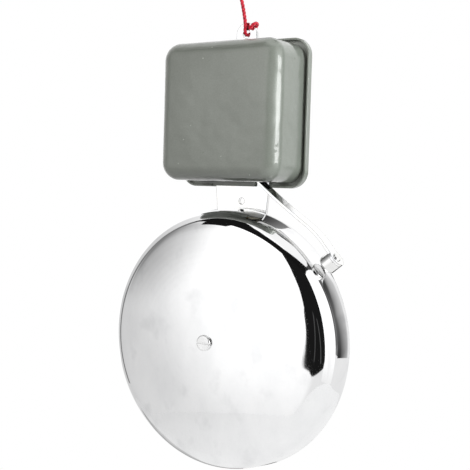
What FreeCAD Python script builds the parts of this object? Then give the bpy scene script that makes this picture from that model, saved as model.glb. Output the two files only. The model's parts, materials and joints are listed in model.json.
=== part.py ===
import FreeCAD, Part
import math
import os
import Sketcher

# Electric trembler bell: a tray and a chassis plate carry the magnet, the contact and the gong,
# a cover closes the case, and a spring-hung armature swings the hammer outside it.
#
# Frame: +X right, +Y back to the wall, +Z up, millimetres. The origin is the centre of the
# fixing hole in the tongue, at the chassis plate's back face. "Forward" means along -Y.

# --- driving sizes: case --------------------------------------------------------------------
case_height = 50.1  # case centre above the fixing hole
cover_width = 78  # cover, side to side
cover_tall = 78  # cover, top to bottom
cover_depth = 32.4  # cover front, forward of the plate's back face
cover_wall = 1  # cover sheet
cover_corner = 10  # cover corner radius
cover_brow = 8  # radius of the cover's front edge
cover_seat_gap = 0.3  # cover rim off the tray floor
tray_gap = 1.8  # groove between the cover and the tray lip
tray_wall = 1.2  # tray sheet
tray_lip = 3.3  # tray lip, forward of its floor
tray_corner = 10  # tray corner radius
plate_thick = 2  # chassis plate sheet
plate_fit = 0.3  # play between the chassis plate and the cover
tongue_root = 18.6  # tongue half width where it leaves the plate
tongue_tip = 9.2  # tongue half width at the gong axis
tongue_play = 1.4  # tray notch beside the tongue
fixing_bore = 2  # fixing hole radius
tab_half = 6.6  # half width of the hanging tab
hang_rise = 8.4  # hanging hole above the chassis plate's edge
hang_bore = 2.5  # hanging hole radius
flap_drop = 2.5  # cover flap below the cover
slot_left_play = 7  # arm slot, left of the arm
slot_right_play = 7.5  # arm slot, right of the arm's upper end
slot_front_play = 2  # arm slot, in front of the arm
ear_width = 7  # width of the plate's ears
ear_reach = 14  # front of the plate's ears
cover_screw_grip = 4  # cover screws' length past the ears
head_lift = 0.3  # cover screws' heads off the cover
cover_screw_forward = 8  # cover screws forward of the plate's back
grommet_inset = 9.7  # cable inlet from the plate's left edge
grommet_rise = 8.6  # cable inlet above the plate's lower edge
grommet_bore = 3  # cable inlet radius
grommet_neck = 4.2  # grommet neck radius
grommet_flange = 5.5  # grommet flange radius
grommet_rim = 1.2  # grommet flange thickness

# --- gong -----------------------------------------------------------------------------------
gong_drop = 79  # gong axis below the fixing hole
gong_radius = 75  # gong rim radius
gong_depth = 29  # gong, rim to crown
gong_skirt = 11.5  # straight skirt of the gong
gong_draw = 1.4  # skirt's taper over its depth
gong_shoulder = 13  # gong shoulder radius
gong_wall = 1.6  # gong metal
gong_standoff = 5.2  # gong rim forward of the chassis plate
gong_bolt = 2.5  # gong screw shank radius
gong_bolt_depth = 13  # gong screw's length in the post
gong_bolt_play = 0.15  # gong's hole over its screw
post_radius = 6  # gong post radius
post_rivet = 0.9  # height of the post's riveted end
washer_thick = 0.8  # fibre washer behind the gong
gong_dish = 0.07  # how far the gong's dome falls away over the washer
head_radius = 4.5  # gong screw head radius
head_height = 1.7  # gong screw head height

# --- magnet and armature --------------------------------------------------------------------
coil_space = 4  # between the two bobbins
core_radius = 4  # soft iron core radius
core_fit = 0.05  # bobbin bore over the core
bobbin_tube = 1.1  # bobbin tube wall
bobbin_flange = 1.2  # bobbin flange thickness
bobbin_inset = 2.8  # bobbin end behind the pole face
yoke_inset = 1.3  # yoke foot from the plate's left edge
contact_room = 25.5  # from the pole faces to the plate's right edge
yoke_thick = 4  # yoke leg thickness
yoke_margin = 4  # yoke beyond the coil axes' outer half
yoke_foot = 3  # yoke foot thickness
yoke_foot_reach = 8.4  # yoke foot beyond its leg
yoke_lead = 8.5  # yoke leg's front edge, forward of the coil axes
core_spigot = 2.4  # core's riveted end in the yoke
winding_step = 0.5  # winding inside its bobbin flanges
armature_thick = 3.5  # armature thickness
armature_lift = 3.5  # armature's lower end above the terminal block
pole_gap = 0.8  # air gap at rest
leaf_thick = 0.4  # suspension leaf thickness
leaf_width = 11  # suspension leaf width
leaf_lap = 7  # suspension leaf on the armature
leaf_free = 4  # free length of the leaf, between armature and clamp
leaf_rivet_side = 3  # leaf rivets each side of its middle
clamp_tall = 10  # height of the leaf's clamp
clamp_inset = 0.8  # clamp below the plate's upper edge
post_thick = 4  # spring post's upright
post_foot = 3  # spring post's foot
post_foot_long = 21.5  # spring post's foot, end to end
post_margin = 1.5  # spring post past the leaf's front edge
post_screw_inset = 4  # spring post's first screw from the foot's end
post_screw_pitch = 7.5  # between the spring post's screws
clamp_thick = 2  # clamp plate thickness
clamp_screw_pitch = 6  # between the clamp screws
clamp_screw_head = 2.7  # clamp screw head radius

# --- hammer ---------------------------------------------------------------------------------
arm_width = 8  # hammer arm strip width
arm_thick = 1.5  # hammer arm strip thickness
hammer_inset = 5  # hammer axis in front of the gong's rim
leaf_spacing = 1.2  # between the arm and the contact spring, side by side
arm_lap = 20  # hammer arm on the armature
arm_run = 16  # straight end of the hammer arm, up to the hammer's axis
arm_bend = 10  # radius of the arm's bend at the case
arm_knee = 0.9  # arm's bend above the cover's floor line
arm_sag = 0.7  # how far the arm sags below a straight run outside the case
arm_rivet_rise = 5  # arm rivets above and below their middle
hammer_radius = 5.2  # hammer head radius
hammer_length = 6.8  # hammer head length
hammer_tilt = 39.1  # hammer axis above the horizontal, degrees
hammer_offset = 3.3  # hammer axis below the gong axis, across it
hammer_gap = 1.4  # hammer face off the gong's rim at rest
hammer_peen = 1.2  # edge radius of the hammer's face
hammer_spigot = 1.8  # hammer's riveted spigot radius
hammer_rivet = 2.5  # radius of the spigot's riveted head
hammer_rivet_tall = 0.8  # height of the spigot's riveted head

# --- contact --------------------------------------------------------------------------------
contact_rise = 13  # contact above the armature's lower end
contact_leaf = 0.3  # contact spring thickness
contact_leaf_width = 6  # contact spring width
contact_reach = 3.1  # contact spring off the armature
contact_leaf_bend = 3  # contact spring's bend radius
contact_leaf_top = 17.6  # contact spring's upper end above the contact
contact_leaf_knee = 8  # where the contact spring leaves the armature
contact_leaf_foot = 3.6  # where the contact spring turns down again
contact_leaf_end = 3.4  # contact spring's lower end below the contact
contact_rivet_low = 10.9  # contact spring's lower rivet above the contact
contact_rivet_high = 15.4  # contact spring's upper rivet above the contact
tip_radius = 1.5  # silver contact radius
tip_height = 0.9  # silver contact height
contact_gap = 0.3  # contact screw off the silver contact
contact_bolt = 2  # contact screw radius
contact_point = 1.5  # length of the contact screw's point
contact_head = 3.4  # contact screw head radius
contact_head_tall = 2.2  # contact screw head height
lock_nut_thick = 1.8  # lock nut thickness
lock_nut_half = 3.5  # lock nut, half across its flats
contact_post_wide = 6  # contact post, side to side
contact_post_tall = 10  # contact post, top to bottom
contact_post_front = 4.6  # contact post in front of its screw's axis
board_inset = 0.7  # insulating board from the plate's right edge
post_offset = 0.5  # contact post left of the board's middle
board_screw_inset = 3.5  # board screws from the board's ends
board_thick = 3  # insulating board thickness
board_wide = 14  # insulating board width
board_tall = 30  # insulating board height

# --- terminals and fasteners ----------------------------------------------------------------
block_wide = 28  # terminal block, side to side
block_lift = 1.6  # terminal block above the plate's lower edge
block_tall = 9.5  # terminal block height
block_deep = 11  # terminal block depth
seat_wide = 8  # width of a terminal's seat
seat_deep = 2  # depth of a terminal's seat
block_corner = 0.8  # corner radius of the terminal block
terminal_plate = 1  # terminal plate thickness
terminal_pitch = 14  # between the terminals
screw_radius = 1.5  # small screw shank radius
screw_fit = 0.05  # hole over a shank
screw_head = 2.9  # small screw head radius
screw_head_tall = 2.2  # small screw head height
screw_edge = 0.4  # edge radius of a screw head
slot_wide = 0.8  # screwdriver slot width
slot_deep = 1  # screwdriver slot depth
rivet_radius = 1.25  # small rivet shank radius
rivet_head = 2.2  # small rivet head radius
rivet_head_tall = 0.9  # small rivet head height
tray_rivet_inset = 7  # tray rivets from the plate's edges
wire_radius = 0.6  # inner lead radius
wire_gap = 0.1  # inner lead's end off the piece that it joins
lead_margin = 1.4  # where the leads meet the windings, from the bobbin flange
running_fit = 0.02  # hole over a rivet or a threaded shank
cord_radius = 1.1  # hanging cord radius
knot_radius = 2.8  # hanging cord's knot radius
knot_tall = 5  # hanging cord's knot height

# Each plain number above is a driving size: it gets a row of the sheet, and from then on its name
# stands for both its value and its formula.
driving = {name: value for name, value in globals().items() if isinstance(value, (int, float))}
doc = FreeCAD.newDocument("electric_bell")
sheet = doc.addObject("Spreadsheet::Sheet", "Sizes")
sub_parts = []
radii_seen = {}


class Size:
    """A length or an angle: its value now, and the formula over the sheet that drives it."""

    def __init__(self, value, formula):
        self.value = value
        self.formula = formula

    @staticmethod
    def of(number):
        return number if isinstance(number, Size) else Size(number, repr(number))

    def join(self, sign, other, value):
        return Size(value, f"({self.formula} {sign} {Size.of(other).formula})")

    def __add__(self, other):
        return self.join("+", other, self.value + Size.of(other).value)

    def __sub__(self, other):
        return self.join("-", other, self.value - Size.of(other).value)

    def __mul__(self, other):
        return self.join("*", other, self.value * Size.of(other).value)

    def __truediv__(self, other):
        return self.join("/", other, self.value / Size.of(other).value)

    def __radd__(self, other):
        return Size.of(other) + self

    def __rsub__(self, other):
        return Size.of(other) - self

    def __rmul__(self, other):
        return Size.of(other) * self

    def __neg__(self):
        return Size(-self.value, f"(-1 * {self.formula})")


for row, (alias, value) in enumerate(driving.items(), start=1):
    sheet.set(f"A{row}", alias.replace("_", " "))
    sheet.set(f"B{row}", str(value))
    sheet.setAlias(f"B{row}", alias)
    globals()[alias] = Size(value, f"Sizes.{alias}")
doc.recompute()

# --- sizes worked out from them ---------------------------------------------------------------
inner_half_wide = cover_width / 2 - cover_wall
inner_half_tall = cover_tall / 2 - cover_wall
plate_half_wide = inner_half_wide - plate_fit
plate_half_tall = inner_half_tall - plate_fit
plate_corner = cover_corner - cover_wall - plate_fit
plate_low = case_height - plate_half_tall
plate_high = case_height + plate_half_tall
ear_rise = plate_half_tall - plate_corner - ear_width / 2 - plate_fit
tray_half_wide = cover_width / 2 + tray_gap + tray_wall
tray_half_tall = cover_tall / 2 + tray_gap + tray_wall
hang_height = plate_high + hang_rise
grommet_x = grommet_inset - plate_half_wide
grommet_z = plate_low + grommet_rise

gong_back = plate_thick + gong_standoff
gong_crown = gong_back + gong_depth
gong_seat = gong_crown - gong_wall

# From the case's foot and top towards its middle: terminal block, armature, leaf and clamp.
block_low = plate_low + block_lift
clamp_high = plate_high - clamp_inset
clamp_low = clamp_high - clamp_tall
clamp_middle = clamp_low + clamp_tall / 2
armature_low = block_low + block_tall + armature_lift
armature_high = clamp_low - leaf_free
armature_tall = armature_high - armature_low
leaf_low = armature_high - leaf_lap
arm_high = armature_low + arm_lap
coil_height = armature_low + armature_tall / 2
coil_radius = (armature_tall - coil_space) / 4
coil_pitch = coil_radius * 2 + coil_space
contact_height = armature_low + contact_rise

# From the case's left and right sides towards its middle: yoke, coils, armature and contact.
yoke_left = yoke_inset + yoke_foot_reach - plate_half_wide
yoke_inner = yoke_left + yoke_thick
pole_x = plate_half_wide - contact_room
bobbin_front = pole_x - bobbin_inset
armature_x = pole_x + pole_gap
armature_right = armature_x + armature_thick
leaf_right = armature_right + leaf_thick
post_foot_left = armature_right - post_foot_long
contact_x = armature_right + contact_reach + contact_leaf + tip_height
board_x = plate_half_wide - board_inset - board_wide / 2
contact_post_x = board_x - post_offset
block_left = armature_x - block_wide
block_middle = armature_x - block_wide / 2
slot_left = armature_right - slot_left_play
slot_right = armature_right + slot_right_play

# From the wall forward: the arm lies over the gong's skirt, and the contact spring in front of it.
arm_forward = gong_back + hammer_inset
armature_back = arm_forward - arm_width / 2
contact_forward = arm_forward + arm_width / 2 + leaf_spacing + contact_leaf_width / 2
armature_width = arm_width + leaf_spacing + contact_leaf_width
leaf_middle = armature_back + armature_width / 2
coil_forward = leaf_middle
slot_front = arm_forward + arm_width / 2 + slot_front_play
block_front = plate_thick + block_deep

terminal_z = block_low + block_tall / 2
screw_bore = screw_radius + screw_fit
foot_screw_x = yoke_left - yoke_foot_reach / 2
rivet_bore = rivet_radius + running_fit
PI = math.pi

# A strip's corner that turns by less than twice this angle (radians) gets as wide an arc as fits.
GENTLE_HALF_TURN = 0.2


# --- building helpers -------------------------------------------------------------------------
PLANES = {"front": "XZ_Plane", "side": "YZ_Plane", "level": "XY_Plane"}


def drive(thing, name, size):
    thing.setExpression(name, Size.of(size).formula)


def place(thing, x, forward, z):
    for axis, size in (("x", x), ("y", -Size.of(forward)), ("z", z)):
        drive(thing, f"Placement.Base.{axis}", size)
    sub_parts.append(thing)


def new_body(label, x=0, forward=0, z=0):
    body = doc.addObject("PartDesign::Body", label)
    body.Label = label
    place(body, x, forward, z)
    return body


def new_sketch(body, plane, offset=0):
    """A sketch on one of the body's own planes: front looks along +Y, and its offset is forward."""
    sketch = body.newObject("Sketcher::SketchObject", f"{body.Name}_sketch")
    role = PLANES[plane]
    support = next(plane for plane in body.Origin.OriginFeatures if plane.Role == role)
    sketch.AttachmentSupport = [(support, "")]
    sketch.MapMode = "FlatFace"
    drive(sketch, "AttachmentOffset.Base.z", offset)
    return sketch


def constrain(sketch, kind, *references, size):
    size = Size.of(size)
    index = sketch.addConstraint(Sketcher.Constraint(kind, *references, size.value))
    sketch.setExpression(f"Constraints[{index}]", size.formula)


def join_ends(sketch, first, first_end, second, second_end, kind="Coincident"):
    sketch.addConstraint(Sketcher.Constraint(kind, first, first_end, second, second_end))


def locate(sketch, geometry, point, across, up):
    constrain(sketch, "DistanceX", -1, 1, geometry, point, size=across)
    constrain(sketch, "DistanceY", -1, 1, geometry, point, size=up)


def add_polygon(sketch, corners):
    corners = [(Size.of(across), Size.of(up)) for across, up in corners]
    points = [FreeCAD.Vector(across.value, up.value, 0) for across, up in corners]
    lines = []
    for start, end in zip(points, points[1:] + points[:1]):
        lines.append(sketch.addGeometry(Part.LineSegment(start, end)))
    for line, following in zip(lines, lines[1:] + lines[:1]):
        join_ends(sketch, line, 2, following, 1)
    for line, (across, up) in zip(lines, corners):
        locate(sketch, line, 1, across, up)


def add_box(sketch, left, low, right, high):
    add_polygon(sketch, [(left, low), (right, low), (right, high), (left, high)])


def add_circle(sketch, across, up, radius):
    across, up, radius = Size.of(across), Size.of(up), Size.of(radius)
    middle = FreeCAD.Vector(across.value, up.value, 0)
    circle = sketch.addGeometry(Part.Circle(middle, FreeCAD.Vector(0, 0, 1), radius.value))
    constrain(sketch, "Radius", circle, size=radius)
    locate(sketch, circle, 3, across, up)


def pad(body, sketch, length, midplane=False):
    feature = body.newObject("PartDesign::Pad", f"{body.Name}_pad")
    feature.Profile = sketch
    drive(feature, "Length", length)
    feature.Midplane = midplane
    rebuild(feature)


def rebuild(feature):
    """Recomputes the model, and stops where the new feature failed."""
    doc.recompute()
    if "Invalid" in feature.State:
        raise ValueError(f"{feature.Label} failed")


def pocket(body, sketch, length):
    """Cuts along the sketch's own normal, and makes sure that it cut something."""
    before = body.Shape.Volume
    feature = body.newObject("PartDesign::Pocket", f"{body.Name}_pocket")
    feature.Profile = sketch
    feature.Reversed = True
    drive(feature, "Length", length)
    rebuild(feature)
    if not body.Shape.Volume < before:
        raise ValueError(f"a pocket of {body.Label} cuts nothing")


def round_edges(body, radius, chosen):
    """Fillets the edges of the body's tip for which chosen(edge) is true, in the body's frame."""
    tip = body.Tip
    names = [f"Edge{i + 1}" for i, edge in enumerate(tip.Shape.Edges) if chosen(edge)]
    if not names:
        raise ValueError(f"no edge of {body.Label} to round")
    feature = body.newObject("PartDesign::Fillet", f"{body.Name}_fillet")
    feature.Base = (tip, names)
    drive(feature, "Radius", radius)
    rebuild(feature)


def hollow(body, wall, opening):
    """Shells the body inwards, open at the flat face for which opening(face) is true."""
    tip = body.Tip
    names = [f"Face{i + 1}" for i, face in enumerate(tip.Shape.Faces) if opening(face)]
    feature = body.newObject("PartDesign::Thickness", f"{body.Name}_shell")
    feature.Base = (tip, names)
    drive(feature, "Value", wall)
    feature.Reversed = True
    body.Tip = feature
    rebuild(feature)


def spans(edge, axis):
    """The edge's reach along x, y or z."""
    box = edge.BoundBox
    return {"x": box.XLength, "y": box.YLength, "z": box.ZLength}[axis]


def lies_at(edge, axis, place_value):
    """Whether the whole edge lies at one height of an axis."""
    middle = {"x": edge.BoundBox.Center.x, "y": edge.BoundBox.Center.y, "z": edge.BoundBox.Center.z}
    return spans(edge, axis) < 0.01 and abs(middle[axis] - place_value) < 0.01


def turned(label, plane, layers, x=0, forward=0, z=0, places=((0, 0),), crown=None, end=None,
           slot=None):
    """A turned piece, or a group of equal ones, built up of discs and rings along one axis.

    Each layer is (offset, length, radius) or (offset, length, radius, bore), and places are the
    axes of the copies. crown is the edge radius at the offset end, which is the last layer's end
    unless it is given. slot is the offset from which a screwdriver slot is cut.
    """
    body = new_body(label, x, forward, z)
    for offset, length, radius, *bore in layers:
        sketch = new_sketch(body, plane, offset)
        for across, up in places:
            add_circle(sketch, across, up, radius)
            if bore:
                add_circle(sketch, across, up, bore[0])
        pad(body, sketch, length)
    if crown is not None:
        end = layers[-1][0] + layers[-1][1] if end is None else end
        axis, sign = {"front": ("y", -1), "side": ("x", 1), "level": ("z", 1)}[plane]
        end_value = sign * Size.of(end).value
        round_edges(body, crown, lambda edge: lies_at(edge, axis, end_value))
    if slot is not None:
        radius = max(Size.of(layer[2]).value for layer in layers)
        sketch = new_sketch(body, plane, slot)
        for across, up in places:
            across, up = Size.of(across), Size.of(up)
            add_box(sketch, across - radius - 1, up - slot_wide / 2,
                    across + radius + 1, up + slot_wide / 2)
        pocket(body, sketch, slot_deep + 1)


def screws(label, plane, places, shank_from, seat, x=0, forward=0, z=0, head=screw_head):
    """Slotted cheese-head screws, each with its head standing on the seat."""
    layers = [(shank_from, seat - shank_from, screw_radius), (seat, screw_head_tall, head)]
    top = seat + screw_head_tall
    turned(label, plane, layers, x, forward, z, places, crown=screw_edge, slot=top - slot_deep)


def rivets(label, places, seat):
    """Rivets through the armature, flush on its pole side and headed on what they hold."""
    layers = [(armature_x, seat - armature_x, rivet_radius), (seat, rivet_head_tall, rivet_head)]
    turned(label, "side", layers, places=places, crown=rivet_head_tall / 2)


def holes(body, plane, offset, length, bores):
    """Cuts round holes: each is (across, up, radius)."""
    sketch = new_sketch(body, plane, offset)
    for across, up, radius in bores:
        add_circle(sketch, across, up, radius)
    pocket(body, sketch, length)


def block(label, plane, left, low, right, high, offset, length):
    body = new_body(label)
    sketch = new_sketch(body, plane, offset)
    add_box(sketch, left, low, right, high)
    pad(body, sketch, length)
    return body


def rounded_path(points, radius_at):
    """Straight runs joined by tangent arcs, with radius_at(half turn, shorter run) at each corner.

    Each piece of the path is a list of (point, direction): two for a run, three for an arc.
    """
    pieces, radii, start = [], [], points[0]
    for before, corner, after in zip(points, points[1:], points[2:]):
        back, ahead = before - corner, after - corner
        shorter = min(back.Length, ahead.Length)
        back.normalize()
        ahead.normalize()
        half_turn = (PI - back.getAngle(ahead)) / 2
        radius = radius_at(half_turn, shorter)
        reach = radius * math.tan(half_turn)
        inward = (back + ahead).normalize()
        middle = corner + inward * (radius / math.cos(half_turn) - radius)
        first, last = corner + back * reach, corner + ahead * reach
        pieces.append([(start, -back), (first, -back)])
        pieces.append([(first, -back), (middle, (ahead - back).normalize()), (last, ahead)])
        radii.append(radius)
        start = last
    ahead = (points[-1] - start).normalize()
    pieces.append([(start, ahead), (points[-1], ahead)])
    return pieces, radii


def path_edges(pieces, shift=0):
    """The path's edges; a shift moves them sideways in the XZ plane, arcs keeping their centres."""
    edges = []
    for piece in pieces:
        ends = [at + FreeCAD.Vector(-along.z, 0, along.x) * shift for at, along in piece]
        curve = Part.Arc(*ends) if len(ends) == 3 else Part.LineSegment(*ends)
        edges.append(curve.toShape())
    return edges


def shaped(label, shape):
    """A sub-part whose shape is made directly, from the sheet's sizes."""
    feature = doc.addObject("Part::Feature", label)
    feature.Label = label
    feature.Shape = shape
    feature.Placement = FreeCAD.Placement()
    sub_parts.append(feature)


def tube(label, points, radius):
    """A round lead or cord along its route, with arcs as large as its runs allow."""
    points = [FreeCAD.Vector(*point) for point in points]
    pieces, radii = rounded_path(points, lambda half, run: 0.45 * run / math.tan(half))
    path = Part.Wire(path_edges(pieces))
    section = Part.Wire([Part.makeCircle(radius, points[0], points[1] - points[0])])
    solid = path.makePipeShell([section], True, False)
    wanted = PI * radius ** 2 * path.Length
    if abs(solid.Volume / wanted - 1) > 0.01:
        raise ValueError(f"{label} has {solid.Volume:.1f} mm3 in place of {wanted:.1f}")
    radii_seen[label] = (round(path.Length, 1), [round(each, 1) for each in radii])
    shaped(label, solid)


def strip(points, thick, wide, forward, bend):
    """A bent strip: the points run along its left face, in the XZ plane, from the top down.

    Sharp corners get the bend radius, and gentle ones as large an arc as their runs allow.
    """
    def bend_radius(half_turn, shorter):
        widest = 0.45 * shorter / math.tan(half_turn)
        return min(bend, widest) if half_turn > GENTLE_HALF_TURN else widest

    pieces, _ = rounded_path([FreeCAD.Vector(x, 0, z) for x, z in points], bend_radius)
    near, far = path_edges(pieces), path_edges(pieces, thick)
    across_top = Part.LineSegment(pieces[0][0][0], far[0].Vertexes[0].Point).toShape()
    across_end = Part.LineSegment(pieces[-1][-1][0], far[-1].Vertexes[-1].Point).toShape()
    outline = Part.Wire(Part.sortEdges(near + far + [across_top, across_end])[0])
    solid = Part.Face(outline).extrude(FreeCAD.Vector(0, -wide, 0))
    solid.translate(FreeCAD.Vector(0, wide / 2 - forward, 0))
    return solid


# --- case -------------------------------------------------------------------------------------
def build_base_tray():
    """Square pressed tray against the wall, with a lip round the cover's rim."""
    body = new_body("base_tray", forward=-tray_wall, z=case_height)
    sketch = new_sketch(body, "front")
    add_box(sketch, -tray_half_wide, -tray_half_tall, tray_half_wide, tray_half_tall)
    pad(body, sketch, tray_wall + tray_lip)
    round_edges(body, tray_corner, lambda edge: spans(edge, "y") > 1)
    front = -(tray_wall + tray_lip).value
    hollow(body, tray_wall, lambda face: lies_at(face, "y", front))
    round_edges(body, tray_wall * 0.8, lambda edge: lies_at(edge, "y", 0))
    tongue_gap = tongue_root + tongue_play
    sketch = new_sketch(body, "front", tray_wall)
    add_box(sketch, -tongue_gap, -tray_half_tall - 1, tongue_gap, -tray_half_tall + tray_gap)
    tab_gap = tab_half + tongue_play
    add_box(sketch, -tab_gap, tray_half_tall - tray_gap, tab_gap, tray_half_tall + 1)
    pocket(body, sketch, tray_lip + 1)
    bores = [(grommet_x, grommet_z - case_height, grommet_flange + screw_fit)]
    for across, up in tray_rivet_places():
        bores.append((across, up - case_height, rivet_radius + screw_fit))
    holes(body, "front", -1, tray_wall + 1.5, bores)
    rim_edge = tray_wall.value * 3
    round_edges(body, tray_wall * 0.35, lambda edge: lies_at(edge, "y", front) and edge.Length > rim_edge)


def tray_rivet_places():
    side = plate_half_wide - tray_rivet_inset
    high, low = plate_high - tray_rivet_inset, plate_low + tray_rivet_inset
    return [(-side, high), (side, high), (side, low)]


def build_chassis_plate():
    """Plate that carries everything, with the gong's tongue, the hanging tab and two ears."""
    body = new_body("chassis_plate")
    sketch = new_sketch(body, "front")
    add_box(sketch, -plate_half_wide, plate_low, plate_half_wide, plate_high)
    pad(body, sketch, plate_thick)
    round_edges(body, plate_corner, lambda edge: spans(edge, "y") > 1)
    sketch = new_sketch(body, "front")
    root_z = plate_low + 1
    add_polygon(sketch, [(-tongue_root, root_z), (-tongue_tip, -gong_drop),
                         (tongue_tip, -gong_drop), (tongue_root, root_z)])
    pad(body, sketch, plate_thick)
    sketch = new_sketch(body, "front")
    add_circle(sketch, 0, -gong_drop, tongue_tip)
    pad(body, sketch, plate_thick)
    sketch = new_sketch(body, "front")
    add_box(sketch, -tab_half, plate_high - 1, tab_half, hang_height)
    pad(body, sketch, plate_thick)
    sketch = new_sketch(body, "front")
    add_circle(sketch, 0, hang_height, tab_half)
    pad(body, sketch, plate_thick)
    sketch = new_sketch(body, "front")
    for height in ear_heights():
        add_box(sketch, -plate_half_wide, height - ear_width / 2,
                plate_thick - plate_half_wide, height + ear_width / 2)
    pad(body, sketch, ear_reach)
    bores = [(0, 0, fixing_bore), (0, -gong_drop, post_radius / 2 + screw_fit),
             (0, hang_height, hang_bore), (grommet_x, grommet_z, grommet_neck + screw_fit)]
    for across, up in tray_rivet_places():
        bores.append((across, up, rivet_radius + screw_fit))
    for across, up in plate_screw_places():
        bores.append((across, up, screw_bore))
    holes(body, "front", -1, plate_thick + 2, bores)
    ear_bores = [(-cover_screw_forward, height, screw_bore) for height in ear_heights()]
    holes(body, "side", -plate_half_wide - 1, plate_thick + 2, ear_bores)


def ear_heights():
    return [case_height + side * ear_rise for side in (-1, 1)]


def foot_screw_places():
    return [(foot_screw_x, coil_height + side * coil_pitch / 2) for side in (-1, 1)]


def post_screw_places():
    first = post_foot_left + post_screw_inset
    return [(first, clamp_middle), (first + post_screw_pitch, clamp_middle)]


def board_screw_places():
    off = board_tall / 2 - board_screw_inset
    return [(board_x, contact_height + side * off) for side in (-1, 1)]


def plate_screw_places():
    places = foot_screw_places() + post_screw_places() + board_screw_places()
    return places + [(block_middle, terminal_z)]


def build_cover():
    """Deep-drawn cover, notched for the tab, the tongue, the arm and the screws on its left."""
    body = new_body("cover", z=case_height)
    half_wide, half_tall = cover_width / 2, cover_tall / 2
    sketch = new_sketch(body, "front", cover_seat_gap)
    add_box(sketch, -half_wide, -half_tall, half_wide, half_tall)
    pad(body, sketch, cover_depth - cover_seat_gap)
    round_edges(body, cover_corner, lambda edge: spans(edge, "y") > 1)
    front = -cover_depth.value
    round_edges(body, cover_brow, lambda edge: lies_at(edge, "y", front))
    rim = -cover_seat_gap.value
    hollow(body, cover_wall, lambda face: lies_at(face, "y", rim))
    flap_back = plate_thick + 2 * plate_fit
    flap_left = -tongue_root - plate_fit
    inner_floor = -half_tall + cover_wall + cover_wall / 2
    sketch = new_sketch(body, "front")
    add_box(sketch, flap_left, -half_tall - 1, slot_left, inner_floor)
    pocket(body, sketch, flap_back)
    sketch = new_sketch(body, "front")
    tab_gap = tab_half + plate_fit
    add_box(sketch, -tab_gap, half_tall - cover_wall * 1.5, tab_gap, half_tall + 1)
    pocket(body, sketch, plate_thick + plate_fit)
    sketch = new_sketch(body, "front")
    add_box(sketch, slot_left, -half_tall - 1, slot_right, inner_floor)
    pocket(body, sketch, slot_front)
    sketch = new_sketch(body, "front", flap_back)
    add_box(sketch, flap_left, -half_tall - flap_drop, slot_left, -half_tall + cover_wall / 2)
    pad(body, sketch, cover_wall)
    slot_half = screw_radius + plate_fit
    slots_from = -half_wide - cover_wall / 2
    sketch = new_sketch(body, "side", slots_from)
    for side in (-1, 1):
        add_box(sketch, -cover_screw_forward, side * ear_rise - slot_half,
                1, side * ear_rise + slot_half)
    pocket(body, sketch, cover_wall * 2)
    bores = [(-cover_screw_forward, side * ear_rise, slot_half) for side in (-1, 1)]
    holes(body, "side", slots_from, cover_wall * 2, bores)
    corner = cover_wall.value * 1.5
    bend_low = -(half_tall + flap_drop).value
    round_edges(body, cover_wall * 0.3,
                lambda edge: lies_at(edge, "z", bend_low) and spans(edge, "x") > corner)


def build_case_fasteners():
    """Rivets of the tray, screws in the cover's left side and the cable's grommet."""
    layers = [(-tray_wall, tray_wall + plate_thick, rivet_radius),
              (plate_thick, rivet_head_tall, rivet_head)]
    turned("tray_rivets", "front", layers, places=tray_rivet_places(), crown=rivet_head_tall / 2)
    seat = -cover_width / 2 - head_lift
    shank_end = plate_thick - plate_half_wide + cover_screw_grip
    head_end = seat - screw_head_tall
    layers = [(seat, shank_end - seat, screw_radius), (head_end, screw_head_tall, screw_head)]
    places = [(-cover_screw_forward, height) for height in ear_heights()]
    turned("cover_screws", "side", layers, places=places, crown=screw_edge, end=head_end,
           slot=head_end - 1)
    layers = [(-grommet_rim, grommet_rim, grommet_flange, grommet_bore),
              (0, plate_thick, grommet_neck, grommet_bore),
              (plate_thick, grommet_rim, grommet_flange, grommet_bore)]
    turned("cable_grommet", "front", layers, x=grommet_x, z=grommet_z)


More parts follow.
